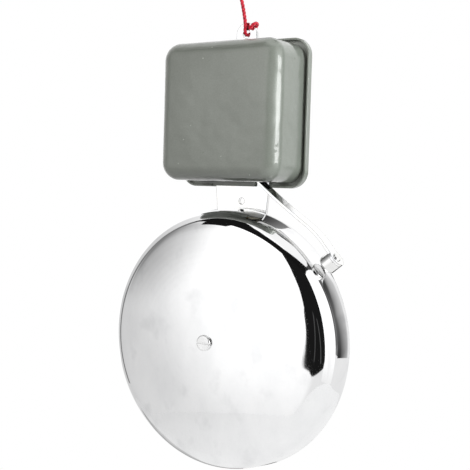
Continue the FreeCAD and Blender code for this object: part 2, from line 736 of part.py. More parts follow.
# --- gong -------------------------------------------------------------------------------------
def build_gong():
    """Pressed steel gong: a straight skirt, a round shoulder and a shallow crowned face."""
    body = new_body("gong", forward=gong_back, z=-gong_drop)
    sketch = new_sketch(body, "level")
    rim, depth, skirt = gong_radius.value, gong_depth.value, gong_skirt.value
    draw, shoulder = gong_draw.value, gong_shoulder.value
    taper = math.atan2(draw, skirt)
    middle_x = rim - draw - shoulder * math.cos(taper)
    middle_y = -skirt + shoulder * math.sin(taper)
    rise = middle_y + depth
    crown = (middle_x ** 2 + rise ** 2 - shoulder ** 2) / (2 * (rise - shoulder))
    crown_y = crown - depth
    turn = math.atan2(middle_y - crown_y, middle_x)
    up, at = FreeCAD.Vector(0, 0, 1), FreeCAD.Vector
    back = sketch.addGeometry(Part.LineSegment(at(0, 0, 0), at(rim, 0, 0)))
    side = sketch.addGeometry(Part.LineSegment(at(rim, 0, 0), at(rim - draw, -skirt, 0)))
    shoulder_circle = Part.Circle(at(middle_x, middle_y, 0), up, shoulder)
    bend = sketch.addGeometry(Part.ArcOfCircle(shoulder_circle, turn, -taper))
    crown_circle = Part.Circle(at(0, crown_y, 0), up, crown)
    face = sketch.addGeometry(Part.ArcOfCircle(crown_circle, -PI / 2, turn))
    axis = sketch.addGeometry(Part.LineSegment(at(0, -depth, 0), at(0, 0, 0)))
    join_ends(sketch, back, 1, -1, 1)
    sketch.addConstraint(Sketcher.Constraint("Horizontal", back))
    join_ends(sketch, back, 2, side, 1)
    join_ends(sketch, side, 2, bend, 2, "Tangent")
    join_ends(sketch, bend, 1, face, 2, "Tangent")
    sketch.addConstraint(Sketcher.Constraint("PointOnObject", face, 3, -2))
    join_ends(sketch, face, 1, axis, 1)
    join_ends(sketch, axis, 2, -1, 1)
    sketch.addConstraint(Sketcher.Constraint("Vertical", axis))
    constrain(sketch, "DistanceX", back, 1, back, 2, size=gong_radius)
    constrain(sketch, "DistanceY", axis, 1, axis, 2, size=gong_depth)
    constrain(sketch, "DistanceY", side, 2, side, 1, size=gong_skirt)
    constrain(sketch, "DistanceX", side, 2, side, 1, size=gong_draw)
    constrain(sketch, "Radius", bend, size=gong_shoulder)
    dome = body.newObject("PartDesign::Revolution", "gong_dome")
    dome.Profile = sketch
    dome.ReferenceAxis = (sketch, ["V_Axis"])
    dome.Angle = 360
    rebuild(dome)
    hollow(body, gong_wall, lambda face: lies_at(face, "y", 0))
    bolt_bore = gong_bolt + gong_bolt_play
    holes(body, "front", gong_depth - gong_wall * 2, gong_wall * 3, [(0, 0, bolt_bore)])
    round_edges(body, gong_wall * 0.3, lambda edge: lies_at(edge, "y", 0))


def build_gong_fixing():
    """Post riveted into the tongue, fibre washer and screw."""
    post_front = gong_seat - gong_dish - washer_thick
    bore_from = gong_crown - gong_bolt_depth - 1
    spigot = post_radius / 2
    layers = [(-post_rivet, post_rivet, post_radius * 0.7), (0, plate_thick, spigot),
              (plate_thick, bore_from - plate_thick, post_radius),
              (bore_from, post_front - bore_from, post_radius, gong_bolt + screw_fit)]
    turned("gong_post", "front", layers, z=-gong_drop)
    layers = [(post_front, washer_thick, post_radius + 0.5, gong_bolt + gong_bolt_play)]
    turned("gong_washer", "front", layers, z=-gong_drop)
    shank_from = gong_crown - gong_bolt_depth
    layers = [(shank_from, gong_bolt_depth, gong_bolt), (gong_crown, head_height, head_radius)]
    turned("gong_screw", "front", layers, z=-gong_drop, crown=head_height * 0.5,
           slot=gong_crown + head_height - slot_deep / 2)


# --- magnet -----------------------------------------------------------------------------------
def build_magnet():
    """Yoke and two coils, each with its core, bobbin and winding."""
    body = new_body("magnet_yoke", z=coil_height)
    sketch = new_sketch(body, "level")
    foot_left = yoke_left - yoke_foot_reach
    back, foot_front = -plate_thick, -plate_thick - yoke_foot
    leg_front = -coil_forward - yoke_lead
    add_polygon(sketch, [(foot_left, back), (yoke_inner, back), (yoke_inner, leg_front),
                         (yoke_left, leg_front), (yoke_left, foot_front), (foot_left, foot_front)])
    pad(body, sketch, coil_pitch + (core_radius + yoke_margin) * 2, midplane=True)
    half = coil_pitch / 2
    bores = [(-coil_forward, side * half, core_spigot) for side in (-1, 1)]
    holes(body, "side", yoke_left - 1, yoke_thick + 2, bores)
    bores = [(across, up - coil_height, screw_bore) for across, up in foot_screw_places()]
    holes(body, "front", plate_thick - 1, yoke_foot + 2, bores)
    for name, side in (("upper", 1), ("lower", -1)):
        height = coil_height + side * half
        axis = {"forward": coil_forward, "z": height}
        layers = [(yoke_left, yoke_thick, core_spigot),
                  (yoke_inner, pole_x - yoke_inner, core_radius)]
        turned(f"coil_core_{name}", "side", layers, **axis)
        bore = core_radius + core_fit
        tube_radius = bore + bobbin_tube
        winding_from = yoke_inner + bobbin_flange
        winding_to = bobbin_front - bobbin_flange
        layers = [(yoke_inner, bobbin_flange, coil_radius, bore),
                  (winding_from, winding_to - winding_from, tube_radius, bore),
                  (winding_to, bobbin_flange, coil_radius, bore)]
        turned(f"bobbin_{name}", "side", layers, **axis)
        layers = [(winding_from + running_fit, winding_to - winding_from - running_fit * 2,
                   coil_radius - winding_step, tube_radius + running_fit)]
        turned(f"winding_{name}", "side", layers, **axis)
    screws("yoke_screws", "front", foot_screw_places(), 0.1, plate_thick + yoke_foot)


# --- armature and its suspension --------------------------------------------------------------
def leaf_rivet_places():
    middle = (leaf_low + armature_high) / 2
    return [(side * leaf_rivet_side - leaf_middle, middle) for side in (-1, 1)]


def arm_rivet_places():
    middle = (armature_low + arm_high) / 2
    return [(-arm_forward, middle + side * arm_rivet_rise) for side in (-1, 1)]


def contact_rivet_places():
    rises = (contact_rivet_low, contact_rivet_high)
    return [(-contact_forward, contact_height + rise) for rise in rises]


def clamp_screw_places():
    return [(-leaf_middle + side * clamp_screw_pitch / 2, clamp_middle) for side in (-1, 1)]


def build_armature():
    body = block("armature", "front", armature_x, armature_low, armature_right, armature_high,
                 armature_back, armature_width)
    places = leaf_rivet_places() + arm_rivet_places() + contact_rivet_places()
    holes(body, "side", armature_x - 1, armature_thick + 2,
          [(across, up, rivet_bore) for across, up in places])
    rivets("leaf_rivets", leaf_rivet_places(), leaf_right)
    rivets("arm_rivets", arm_rivet_places(), armature_right + arm_thick)
    rivets("contact_rivets", contact_rivet_places(), armature_right + contact_leaf)


def build_suspension():
    """Leaf spring, the post that carries it, its clamp plate and their screws."""
    leaf_back = leaf_middle - leaf_width / 2
    body = block("suspension_spring", "front", armature_right, leaf_low, leaf_right, clamp_high,
                 leaf_back, leaf_width)
    bores = [(across, up, rivet_bore) for across, up in leaf_rivet_places()]
    bores += [(across, up, screw_bore) for across, up in clamp_screw_places()]
    holes(body, "side", armature_right - 1, leaf_thick + 2, bores)
    body = new_body("spring_post", z=clamp_low)
    sketch = new_sketch(body, "level")
    upright_left = armature_right - post_thick
    front = -leaf_back - leaf_width - post_margin
    back, foot_front = -plate_thick, -plate_thick - post_foot
    add_polygon(sketch, [(post_foot_left, back), (armature_right, back), (armature_right, front),
                         (upright_left, front), (upright_left, foot_front),
                         (post_foot_left, foot_front)])
    pad(body, sketch, clamp_tall)
    bores = [(across, up - clamp_low, screw_bore) for across, up in post_screw_places()]
    holes(body, "front", plate_thick - 1, post_foot + 2, bores)
    bores = [(across, up - clamp_low, screw_bore) for across, up in clamp_screw_places()]
    holes(body, "side", upright_left - 1, post_thick + 2, bores)
    screws("post_screws", "front", post_screw_places(), 0.1, plate_thick + post_foot)
    body = block("clamp_plate", "front", leaf_right, clamp_low, leaf_right + clamp_thick, clamp_high,
                 leaf_back, leaf_width)
    bores = [(across, up, screw_bore) for across, up in clamp_screw_places()]
    holes(body, "side", leaf_right - 1, clamp_thick + 2, bores)
    screws("clamp_screws", "side", clamp_screw_places(), upright_left, leaf_right + clamp_thick,
           head=clamp_screw_head)


# --- hammer -----------------------------------------------------------------------------------
def hammer_frame():
    """Outward axis of the hammer, and the centre of its striking face."""
    tilt = math.radians(hammer_tilt.value)
    outward = FreeCAD.Vector(math.cos(tilt), 0, math.sin(tilt))
    across = FreeCAD.Vector(math.sin(tilt), 0, -math.cos(tilt))
    struck = gong_radius.value + hammer_gap.value
    face = outward * struck + across * hammer_offset.value
    face += FreeCAD.Vector(0, -arm_forward.value, -gong_drop.value)
    return outward, face


def rivet_holes(plate, places, thick):
    """Cuts the rivets' holes through a strip that lies on the armature."""
    for across, up in places:
        start = FreeCAD.Vector(armature_right.value - 1, across.value, up.value)
        bore = Part.makeCylinder(rivet_bore.value, thick + 2, start, FreeCAD.Vector(1, 0, 0))
        plate = plate.cut(bore)
    return plate


def build_hammer():
    """Bent strip on the armature, and the head riveted to its round end."""
    outward, face = hammer_frame()
    seat = face + outward * hammer_length.value
    along = FreeCAD.Vector(outward.z, 0, -outward.x)
    right, thick = armature_right.value, arm_thick.value
    case_floor = case_height.value - cover_tall.value / 2
    knee = FreeCAD.Vector(right, 0, case_floor + arm_knee.value)
    last_bend = seat - along * arm_run.value
    run = last_bend - knee
    below = FreeCAD.Vector(run.z, 0, -run.x).normalize() * arm_sag.value
    third, two_thirds = knee + run * 0.33 + below, knee + run * 0.67 + below * 0.6
    points = [(right, arm_high.value)]
    points += [(each.x, each.z) for each in (knee, third, two_thirds, last_bend, seat)]
    arm = strip(points, thick, arm_width.value, arm_forward.value, arm_bend.value)
    eye = Part.makeCylinder(hammer_radius.value, thick, seat, outward)
    arm = arm.fuse(eye).removeSplitter()
    eye_bore = (hammer_spigot + running_fit).value
    arm = arm.cut(Part.makeCylinder(eye_bore, thick + 2, seat - outward, outward))
    arm = rivet_holes(arm, arm_rivet_places(), thick)
    shaped("hammer_arm", arm)
    body = doc.addObject("PartDesign::Body", "hammer_head")
    body.Label = "hammer_head"
    sub_parts.append(body)
    layers = [(0, hammer_length, hammer_radius), (hammer_length, arm_thick, hammer_spigot),
              (hammer_length + arm_thick, hammer_rivet_tall, hammer_rivet)]
    for offset, length, radius in layers:
        sketch = new_sketch(body, "level", offset)
        add_circle(sketch, 0, 0, radius)
        pad(body, sketch, length)
    round_edges(body, hammer_peen, lambda edge: lies_at(edge, "z", 0))
    outer = (hammer_length + arm_thick + hammer_rivet_tall).value
    round_edges(body, hammer_rivet_tall / 2, lambda edge: lies_at(edge, "z", outer))
    body.Placement = FreeCAD.Placement(face, FreeCAD.Rotation(FreeCAD.Vector(0, 0, 1), outward))


# --- contact ----------------------------------------------------------------------------------
def build_contact():
    """Contact spring on the armature, and the screw in its insulated post."""
    right, reach = armature_right.value, contact_reach.value
    points = [(right, (contact_height + contact_leaf_top).value),
              (right, (contact_height + contact_leaf_knee).value),
              (right + reach, (contact_height + contact_leaf_foot).value),
              (right + reach, (contact_height - contact_leaf_end).value)]
    leaf = strip(points, contact_leaf.value, contact_leaf_width.value, contact_forward.value,
                 contact_leaf_bend.value)
    shaped("contact_spring", rivet_holes(leaf, contact_rivet_places(), contact_leaf.value))
    axis = {"forward": contact_forward, "z": contact_height}
    layers = [(contact_x - tip_height, tip_height, tip_radius)]
    turned("contact_tip", "side", layers, **axis)
    board_front = plate_thick + board_thick
    body = block("contact_board", "front", board_x - board_wide / 2,
                 contact_height - board_tall / 2, board_x + board_wide / 2,
                 contact_height + board_tall / 2, plate_thick, board_thick)
    spigot = contact_post_wide * 0.4
    bores = [(across, up, screw_bore) for across, up in board_screw_places()]
    bores.append((contact_post_x, contact_height, spigot + running_fit))
    holes(body, "front", plate_thick - 0.5, board_thick + 1, bores)
    screws("board_screws", "front", board_screw_places(), 0.1, board_front)
    post_left = contact_post_x - contact_post_wide / 2
    post_right = contact_post_x + contact_post_wide / 2
    post_front = contact_forward + contact_post_front
    body = block("contact_post", "front", post_left, contact_height - contact_post_tall / 2,
                 post_right, contact_height + contact_post_tall / 2,
                 board_front, post_front - board_front)
    spigot_from = plate_thick + board_thick * 0.1
    sketch = new_sketch(body, "front", spigot_from)
    add_circle(sketch, contact_post_x, contact_height, spigot)
    pad(body, sketch, board_front - spigot_from)
    bore = contact_bolt + running_fit
    holes(body, "side", post_left - 1, contact_post_wide + 2,
          [(-contact_forward, contact_height, bore)])
    point_from = contact_x + contact_gap
    shank_from = point_from + contact_point
    head_from = post_right + lock_nut_thick + running_fit
    layers = [(point_from, contact_point, contact_bolt / 2),
              (shank_from, head_from - shank_from, contact_bolt),
              (head_from, contact_head_tall, contact_head)]
    turned("contact_screw", "side", layers, **axis, slot=head_from + contact_head_tall - slot_deep)
    body = new_body("contact_lock_nut", **axis)
    sketch = new_sketch(body, "side", post_right)
    corner = lock_nut_half / math.cos(PI / 6)
    hexagon = [(corner * math.cos(PI / 3 * i), corner * math.sin(PI / 3 * i)) for i in range(6)]
    add_polygon(sketch, hexagon)
    add_circle(sketch, 0, 0, bore)
    pad(body, sketch, lock_nut_thick)


# --- terminals and leads ----------------------------------------------------------------------
def terminal_places():
    return [(block_middle + side * terminal_pitch / 2, terminal_z) for side in (-1, 1)]


def build_terminals():
    """Moulded block with two terminals, and the screw that holds it."""
    body = block("terminal_block", "front", block_left, block_low, armature_x,
                 block_low + block_tall, plate_thick, block_deep)
    round_edges(body, block_corner, lambda edge: spans(edge, "y") > 1)
    seat = block_front - seat_deep
    sketch = new_sketch(body, "front", seat)
    for across, _ in terminal_places():
        add_box(sketch, across - seat_wide / 2, block_low - 1,
                across + seat_wide / 2, block_low + block_tall + 1)
    pocket(body, sketch, seat_deep + 1)
    bores = [(across, up, screw_bore) for across, up in terminal_places()]
    holes(body, "front", plate_thick + 3, block_deep, bores)
    holes(body, "front", plate_thick - 1, block_deep + 2, [(block_middle, terminal_z, screw_bore)])
    sunk = block_front - screw_head_tall - 1
    holes(body, "front", sunk, block_deep, [(block_middle, terminal_z, screw_head + screw_fit)])
    screws("block_screw", "front", [(block_middle, terminal_z)], 0.1, sunk)
    plate_half = seat_wide * 0.45
    body = new_body("terminal_plates")
    sketch = new_sketch(body, "front", seat)
    for across, up in terminal_places():
        add_box(sketch, across - plate_half, up - plate_half, across + plate_half, up + plate_half)
        add_circle(sketch, across, up, screw_bore)
    pad(body, sketch, terminal_plate)
    screws("terminal_screws", "front", terminal_places(), plate_thick + 4, seat + terminal_plate)


def point(across, forward, up):
    return FreeCAD.Vector(Size.of(across).value, -Size.of(forward).value, Size.of(up).value)


def winding_side(height, degrees):
    """Where a lead meets the winding at that height, so many degrees above its foremost line."""
    turn = math.radians(degrees)
    reach = (coil_radius - winding_step + wire_radius + wire_gap).value
    return point(yoke_inner + bobbin_flange + lead_margin,
                 coil_forward + reach * math.cos(turn), height + reach * math.sin(turn))


def lead(label, start, end, bends):
    """A wire from start to end: each bend is a share of the way, and its x, y, z off that line.

    The x, y and z are shares of the distance too.
    """
    way = end - start
    route = [start]
    for share, x, y, z in bends:
        route.append(start + way * share + FreeCAD.Vector(x, y, z) * way.Length)
    tube(label, route + [end], wire_radius.value)


def build_leads():
    """Wires from terminal to coil, coil to coil, coil to frame, and contact to terminal."""
    low, high = coil_height - coil_pitch / 2, coil_height + coil_pitch / 2
    on_plate = block_front - seat_deep + terminal_plate + wire_radius + wire_gap
    (left_terminal, _), (right_terminal, _) = terminal_places()
    first = point(left_terminal, on_plate, block_low + block_tall - wire_radius)
    lead("lead_terminal_to_coil", first, winding_side(low, -22),
         [(0.15, 0.06, -0.04, 0.02), (0.41, 0.05, -0.11, -0.07), (0.66, -0.02, -0.13, -0.19),
          (0.91, -0.05, -0.09, -0.17)])
    lead("lead_coil_to_coil", winding_side(low, 30), winding_side(high, -30),
         [(0.18, -0.04, -0.15, 0), (0.48, 0.01, -0.2, 0), (0.82, -0.04, -0.15, 0)])
    foot = point(post_foot_left, plate_thick + post_foot + wire_radius + wire_gap, clamp_middle)
    lead("lead_coil_to_frame", winding_side(high, 22), foot,
         [(0.12, -0.03, -0.05, 0.09), (0.31, -0.04, -0.06, 0.13), (0.57, -0.03, -0.06, 0.11),
          (0.82, -0.01, -0.03, 0.05)])
    board_front = plate_thick + board_thick
    post_middle = (board_front + contact_forward + contact_post_front) / 2
    under_post = contact_height - contact_post_tall / 2 - wire_radius - wire_gap
    beside_screw = right_terminal + screw_head + wire_radius + wire_gap
    last = point(beside_screw, block_front + wire_radius + wire_gap, terminal_z)
    lead("lead_contact_to_terminal", point(contact_post_x, post_middle, under_post), last,
         [(0.09, 0.04, -0.07, -0.07), (0.25, 0.07, -0.21, -0.13), (0.44, 0.07, -0.31, -0.13),
          (0.65, 0.04, -0.31, -0.1), (0.86, 0.01, -0.21, -0.05)])


# --- hanging cord -----------------------------------------------------------------------------
def build_cord():
    """Cord through the hanging hole, hitched round the tab and held taut from above."""
    route = [(-5.6, -3.5, 124), (-3.7, -3.4, 114.2), (-2, -3.5, 106.3), (-0.4, -3.4, 100.9),
             (0.1, -3.4, 95.9), (0.2, 1.5, 95.8), (5.8, 1.6, 102.1), (5.9, -3.3, 102.3),
             (2.7, -3.4, 98.8)]
    tube("hanging_cord", route, cord_radius.value)
    knot = doc.addObject("PartDesign::Body", "cord_knot")
    knot.Label = "cord_knot"
    sub_parts.append(knot)
    sketch = new_sketch(knot, "level")
    add_circle(sketch, 0, 0, knot_radius)
    pad(knot, sketch, knot_tall)
    round_edges(knot, knot_radius * 0.55, lambda edge: spans(edge, "z") < 0.01)
    top, below = FreeCAD.Vector(*route[0]), FreeCAD.Vector(*route[1])
    knot.Placement = FreeCAD.Placement(top, FreeCAD.Rotation(FreeCAD.Vector(0, 0, 1), top - below))


# --- build, check and write -------------------------------------------------------------------
build_base_tray()
build_chassis_plate()
build_cover()
build_case_fasteners()
build_gong()
build_gong_fixing()
build_magnet()
build_armature()
build_suspension()
build_hammer()
build_contact()
build_terminals()
build_leads()
build_cord()
doc.recompute()

for thing in doc.Objects:
    if "Invalid" in thing.State or "Error" in thing.State:
        raise ValueError(f"{thing.Label} failed: {thing.State}")
for piece in sub_parts:
    if piece.Shape.isNull() or not piece.Shape.isValid():
        raise ValueError(f"{piece.Label} has no valid shape")

os.makedirs("parts", exist_ok=True)
for piece in sub_parts:
    piece.Shape.exportStep(f"parts/{piece.Label}.step")
    box = piece.Shape.BoundBox
    print(f"{piece.Label:26s} {len(piece.Shape.Solids)} solid(s) {piece.Shape.Volume:10.1f} mm3 "
          f"x {box.XMin:.1f} {box.XMax:.1f} y {box.YMin:.1f} {box.YMax:.1f} "
          f"z {box.ZMin:.1f} {box.ZMax:.1f}")
for label, (length, radii) in radii_seen.items():
    print(f"{label}: {length} mm long, radii {radii} mm")
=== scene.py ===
"""Looks of the electric bell: finishes, cord, gong, suspension spring and the studio round it.

Lengths are metres. The bell faces -Y and hangs against the wall.
"""

import json
import math

import bpy
from mathutils import Matrix, Vector


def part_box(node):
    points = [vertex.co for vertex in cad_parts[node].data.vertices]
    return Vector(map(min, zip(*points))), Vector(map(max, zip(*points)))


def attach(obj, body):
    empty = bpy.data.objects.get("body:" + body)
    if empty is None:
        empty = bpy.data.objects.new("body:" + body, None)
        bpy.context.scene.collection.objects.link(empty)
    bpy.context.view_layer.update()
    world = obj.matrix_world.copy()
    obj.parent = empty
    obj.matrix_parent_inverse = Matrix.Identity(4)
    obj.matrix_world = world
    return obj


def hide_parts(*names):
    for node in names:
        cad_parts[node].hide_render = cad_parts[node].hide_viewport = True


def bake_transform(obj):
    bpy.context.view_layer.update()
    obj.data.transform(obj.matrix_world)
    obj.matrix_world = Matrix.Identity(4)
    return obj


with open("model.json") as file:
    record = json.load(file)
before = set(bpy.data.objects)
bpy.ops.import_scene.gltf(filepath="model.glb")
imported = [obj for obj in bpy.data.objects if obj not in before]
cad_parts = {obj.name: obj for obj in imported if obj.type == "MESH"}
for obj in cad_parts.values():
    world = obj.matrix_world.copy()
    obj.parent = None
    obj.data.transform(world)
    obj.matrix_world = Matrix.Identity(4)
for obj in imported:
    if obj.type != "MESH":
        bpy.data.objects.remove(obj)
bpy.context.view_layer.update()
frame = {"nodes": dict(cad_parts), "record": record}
nodes = frame["nodes"]

gong_centre = Vector((0, 0, -0.079))
gong_rim_y = -0.0072  # the gong's open edge, nearest the wall
gong_skirt = 0.0115  # depth of its skirt, from that edge forward


# --- hand tools -------------------------------------------------------------------------------
def tint(code):
    """Linear colour of a paint chip's six figure code."""
    parts = [int(code[at:at + 2], 16) / 255 for at in (0, 2, 4)]
    return tuple(c / 12.92 if c <= 0.04045 else ((c + 0.055) / 1.055) ** 2.4 for c in parts) + (1,)


def drop_selection():
    """Back to object mode with nothing selected."""
    if bpy.context.mode != "OBJECT":
        bpy.ops.object.mode_set(mode="OBJECT")
    bpy.ops.object.select_all(action="DESELECT")


def pick(piece):
    """Selects one piece alone."""
    drop_selection()
    piece.select_set(True)
    bpy.context.view_layer.objects.active = piece


def settle(piece, name):
    """Gives a new piece its name and puts its place into its mesh."""
    pick(piece)
    piece.name = name
    piece.data.name = name
    bpy.ops.object.transform_apply(location=True, rotation=True, scale=True)


def apply_modifier(piece, kind, **settings):
    """Works a modifier with these settings into a piece's mesh."""
    pick(piece)
    modifier = piece.modifiers.new(kind.title(), kind)
    for setting, value in settings.items():
        setattr(modifier, setting, value)
    bpy.ops.object.modifier_apply(modifier=modifier.name)


# --- materials --------------------------------------------------------------------------------
class Finish:
    """A material under construction: its shader, and the nodes that feed it."""

    def __init__(self, name, colour, roughness, metallic=0.0, **sockets):
        self.material = bpy.data.materials.new(name)
        self.material.use_nodes = True
        self.tree = self.material.node_tree
        self.shader = self.tree.nodes["Principled BSDF"]
        self.shader.inputs["Base Color"].default_value = colour
        self.shader.inputs["Roughness"].default_value = roughness
        self.shader.inputs["Metallic"].default_value = metallic
        for socket, value in sockets.items():
            self.shader.inputs[socket.replace("_", " ")].default_value = value
        self.normal = None
        self.place = self.add("ShaderNodeTexCoord").outputs["Object"]

    def rounded(self, radius):
        """The surface's normal, as if its sharp edges had that radius."""
        node = self.add("ShaderNodeBevel", samples=6)
        node.inputs["Radius"].default_value = radius
        return node.outputs["Normal"]

    def soften_edges(self, radius):
        """Rounds sharp edges in the light by a small radius, as plating and paint do."""
        self.lean(self.rounded(radius))

    def lean(self, normal, with_coat=True):
        """Turns the surface to a new normal, and the clear coat over it too."""
        self.normal = normal
        self.link(normal, self.shader.inputs["Normal"])
        if with_coat:
            self.link(normal, self.shader.inputs["Coat Normal"])

    def edges(self, radius, share):
        """Up to share within radius of an edge, and 0 on the open faces: the mask for painted shade
        along edges.
        """
        match = self.add("ShaderNodeVectorMath", operation="DOT_PRODUCT")
        self.link(self.rounded(radius), match.inputs[0])
        self.link(self.add("ShaderNodeNewGeometry").outputs["Normal"], match.inputs[1])
        return self.ramp(match.outputs["Value"], (0.74, share), (0.97, 0.0))

    def add(self, kind, **settings):
        """New node of that kind."""
        node = self.tree.nodes.new(kind)
        for setting, value in settings.items():
            setattr(node, setting, value)
        return node

    def link(self, source, target):
        """Joins a node's output to a socket."""
        self.tree.links.new(source, target)

    def moved(self, location=(0, 0, 0), turn=(0, 0, 0), scale=(1, 1, 1)):
        """The object's coordinates, centred, turned and stretched for a pattern."""
        node = self.add("ShaderNodeMapping")
        self.link(self.place, node.inputs["Vector"])
        node.inputs["Location"].default_value = location
        node.inputs["Rotation"].default_value = turn
        node.inputs["Scale"].default_value = scale
        return node.outputs["Vector"]

    def noise(self, size, detail=3.0, rough=0.5, place=None):
        """Cloudy pattern whose lumps are about size metres across."""
        node = self.add("ShaderNodeTexNoise")
        self.link(place or self.place, node.inputs["Vector"])
        node.inputs["Scale"].default_value = 1 / size
        node.inputs["Detail"].default_value = detail
        node.inputs["Roughness"].default_value = rough
        return node.outputs["Fac"]

    def cells(self, size):
        """Distance to the nearest of scattered points about size metres apart."""
        node = self.add("ShaderNodeTexVoronoi")
        self.link(self.place, node.inputs["Vector"])
        node.inputs["Scale"].default_value = 1 / size
        return node.outputs["Distance"]

    def bands(self, pitch, direction, place=None, kind="BANDS", wobble=0.0):
        """Even grooves, pitch metres apart: straight ones, or rings round an axis."""
        node = self.add("ShaderNodeTexWave", wave_type=kind)
        if kind == "BANDS":
            node.bands_direction = direction
        else:
            node.rings_direction = direction
        self.link(place or self.place, node.inputs["Vector"])
        node.inputs["Scale"].default_value = math.pi / (10 * pitch)
        node.inputs["Distortion"].default_value = wobble
        node.inputs["Detail"].default_value = 1.0
        node.inputs["Detail Scale"].default_value = 1.0
        return node.outputs["Fac"]

    def fade(self, place, kind="LINEAR"):
        """Grey that grows from 0 to 1 along a place's first coordinate, or towards its centre."""
        node = self.add("ShaderNodeTexGradient", gradient_type=kind)
        self.link(place, node.inputs["Vector"])
        return node.outputs["Fac"]

    def ramp(self, value, *stops, kind="LINEAR"):
        """Colours or greys laid along a value."""
        node = self.add("ShaderNodeValToRGB")
        node.color_ramp.interpolation = kind
        self.link(value, node.inputs["Fac"])
        shades = node.color_ramp.elements
        while len(shades) < len(stops):
            shades.new(0.5)
        for shade, (at, colour) in zip(shades, stops):
            shade.position = at
            shade.color = colour if hasattr(colour, "__len__") else (colour, colour, colour, 1)
        return node.outputs["Color"]

    def mix(self, share, first, second, how="MIX"):
        """Two colours mixed; share is a number or a pattern."""
        node = self.add("ShaderNodeMix", data_type="RGBA", blend_type=how)
        for socket, value in zip((node.inputs[0], node.inputs[6], node.inputs[7]),
                                 (share, first, second)):
            if hasattr(value, "links"):
                self.link(value, socket)
            else:
                socket.default_value = value
        return node.outputs[2]

    def span(self, value, low, high):
        """A pattern's 0 to 1 stretched between two numbers."""
        node = self.add("ShaderNodeMapRange")
        self.link(value, node.inputs["Value"])
        node.inputs["To Min"].default_value = low
        node.inputs["To Max"].default_value = high
        return node.outputs["Result"]

    def colour(self, source):
        """Lets a pattern give the colour."""
        self.link(source, self.shader.inputs["Base Color"])

    def gloss(self, source):
        """Lets a pattern give the roughness."""
        self.link(source, self.shader.inputs["Roughness"])

    def bump(self, height, depth, strength=1.0, with_coat=True):
        """Raises the surface by depth metres where height is white, over what is there already."""
        node = self.add("ShaderNodeBump")
        node.inputs["Distance"].default_value = depth
        node.inputs["Strength"].default_value = strength
        self.link(height, node.inputs["Height"])
        if self.normal is not None:
            self.link(self.normal, node.inputs["Normal"])
        self.lean(node.outputs["Normal"], with_coat)


def enamel():
    """Stoved grey-green enamel: orange peel, waves in the sheet, dust, a barely domed front."""
    paint = Finish("case_paint", tint("8A8E85"), 0.34, IOR=1.5, Coat_Weight=0.85,
                   Coat_Roughness=0.05)
    paint.soften_edges(0.0005)
    cloud = paint.noise(0.03, 4)
    base = paint.ramp(cloud, (0.3, tint("878B82")), (0.7, tint("8D9188")))
    fine = paint.noise(0.0007, 2)
    base = paint.mix(0.18, base, paint.ramp(fine, (0.35, tint("7C8077")), (0.65, tint("999D94"))))
    dust = paint.ramp(paint.cells(0.0085), (0.034, 1.0), (0.046, 0.0))
    paint.colour(paint.mix(dust, base, tint("C6C9C1")))
    paint.gloss(paint.span(paint.noise(0.006, 5), 0.24, 0.38))
    paint.bump(paint.noise(0.0016, 2), 0.00002, 0.5)
    paint.bump(paint.noise(0.013, 1), 0.0007, 0.7)
    paint.bump(paint.noise(0.0065, 1), 0.00032, 0.6)
    paint.bump(dust, 0.00004, 0.6)
    middle, reach = 0.0485, 0.07  # height of the case's middle, and how far the dome reaches
    dome = paint.fade(paint.moved(location=(0, 0, -middle / reach), scale=(1 / reach, 0, 1 / reach)),
                      "SPHERICAL")
    dome = paint.ramp(dome, (0.22, 0.0), (0.38, 0.35), (0.5, 0.7), (0.62, 0.92), (0.72, 1.0),
                      kind="B_SPLINE")
    paint.bump(dome, 0.0045, with_coat=False)
    return paint.material


def chrome():
    """Polished chrome on a spun gong: rings left by the spinning, buffing, smears and finger marks.

    On its right side the skirt rolls in a little towards the open edge.
    """
    plate = Finish("gong_chrome", (0.9, 0.9, 0.905, 1), 0.035, 1.0)
    smear = plate.noise(0.03, 5, 0.62, plate.moved(scale=(1, 1, 0.6)))
    base = plate.ramp(smear, (0.32, (0.95, 0.95, 0.953, 1)), (0.68, (0.85, 0.853, 0.86, 1)))
    touched = plate.noise(0.014, 3, 0.5, plate.moved((0.31, 0.2, 0.12), scale=(1, 1, 0.8)))
    touched = plate.ramp(touched, (0.57, 0.0), (0.74, 1.0))
    plate.colour(plate.mix(touched, base, (0.8, 0.803, 0.81, 1)))
    buffing = plate.noise(0.004, 6, 0.7, plate.moved(scale=(1, 1, 0.12)))
    plate.gloss(plate.span(plate.mix(0.5, smear, buffing), 0.012, 0.085))
    on_axis = plate.moved(-gong_centre)
    plate.bump(plate.bands(0.0035, "Y", on_axis, "RINGS", 0.6), 0.000006, 0.25)
    plate.bump(plate.noise(0.028, 2, 0.5), 0.00022, 0.22)
    up_skirt = plate.fade(plate.moved(((gong_skirt - gong_rim_y) / gong_skirt, 0, 0),
                                      (0, 0, -math.pi / 2), (1 / gong_skirt,) * 3), "QUADRATIC")
    roll_from, roll_width = 0.02, 0.025  # begins this far right of the middle, and grows over this
    on_right = plate.fade(plate.moved((-roll_from / roll_width, 0, 0), scale=(1 / roll_width,) * 3))
    roll = plate.mix(on_right, (1, 1, 1, 1), plate.ramp(up_skirt, (0.0, 1.0), (1.0, 0.0)))
    plate.bump(roll, 0.0007)
    return plate.material


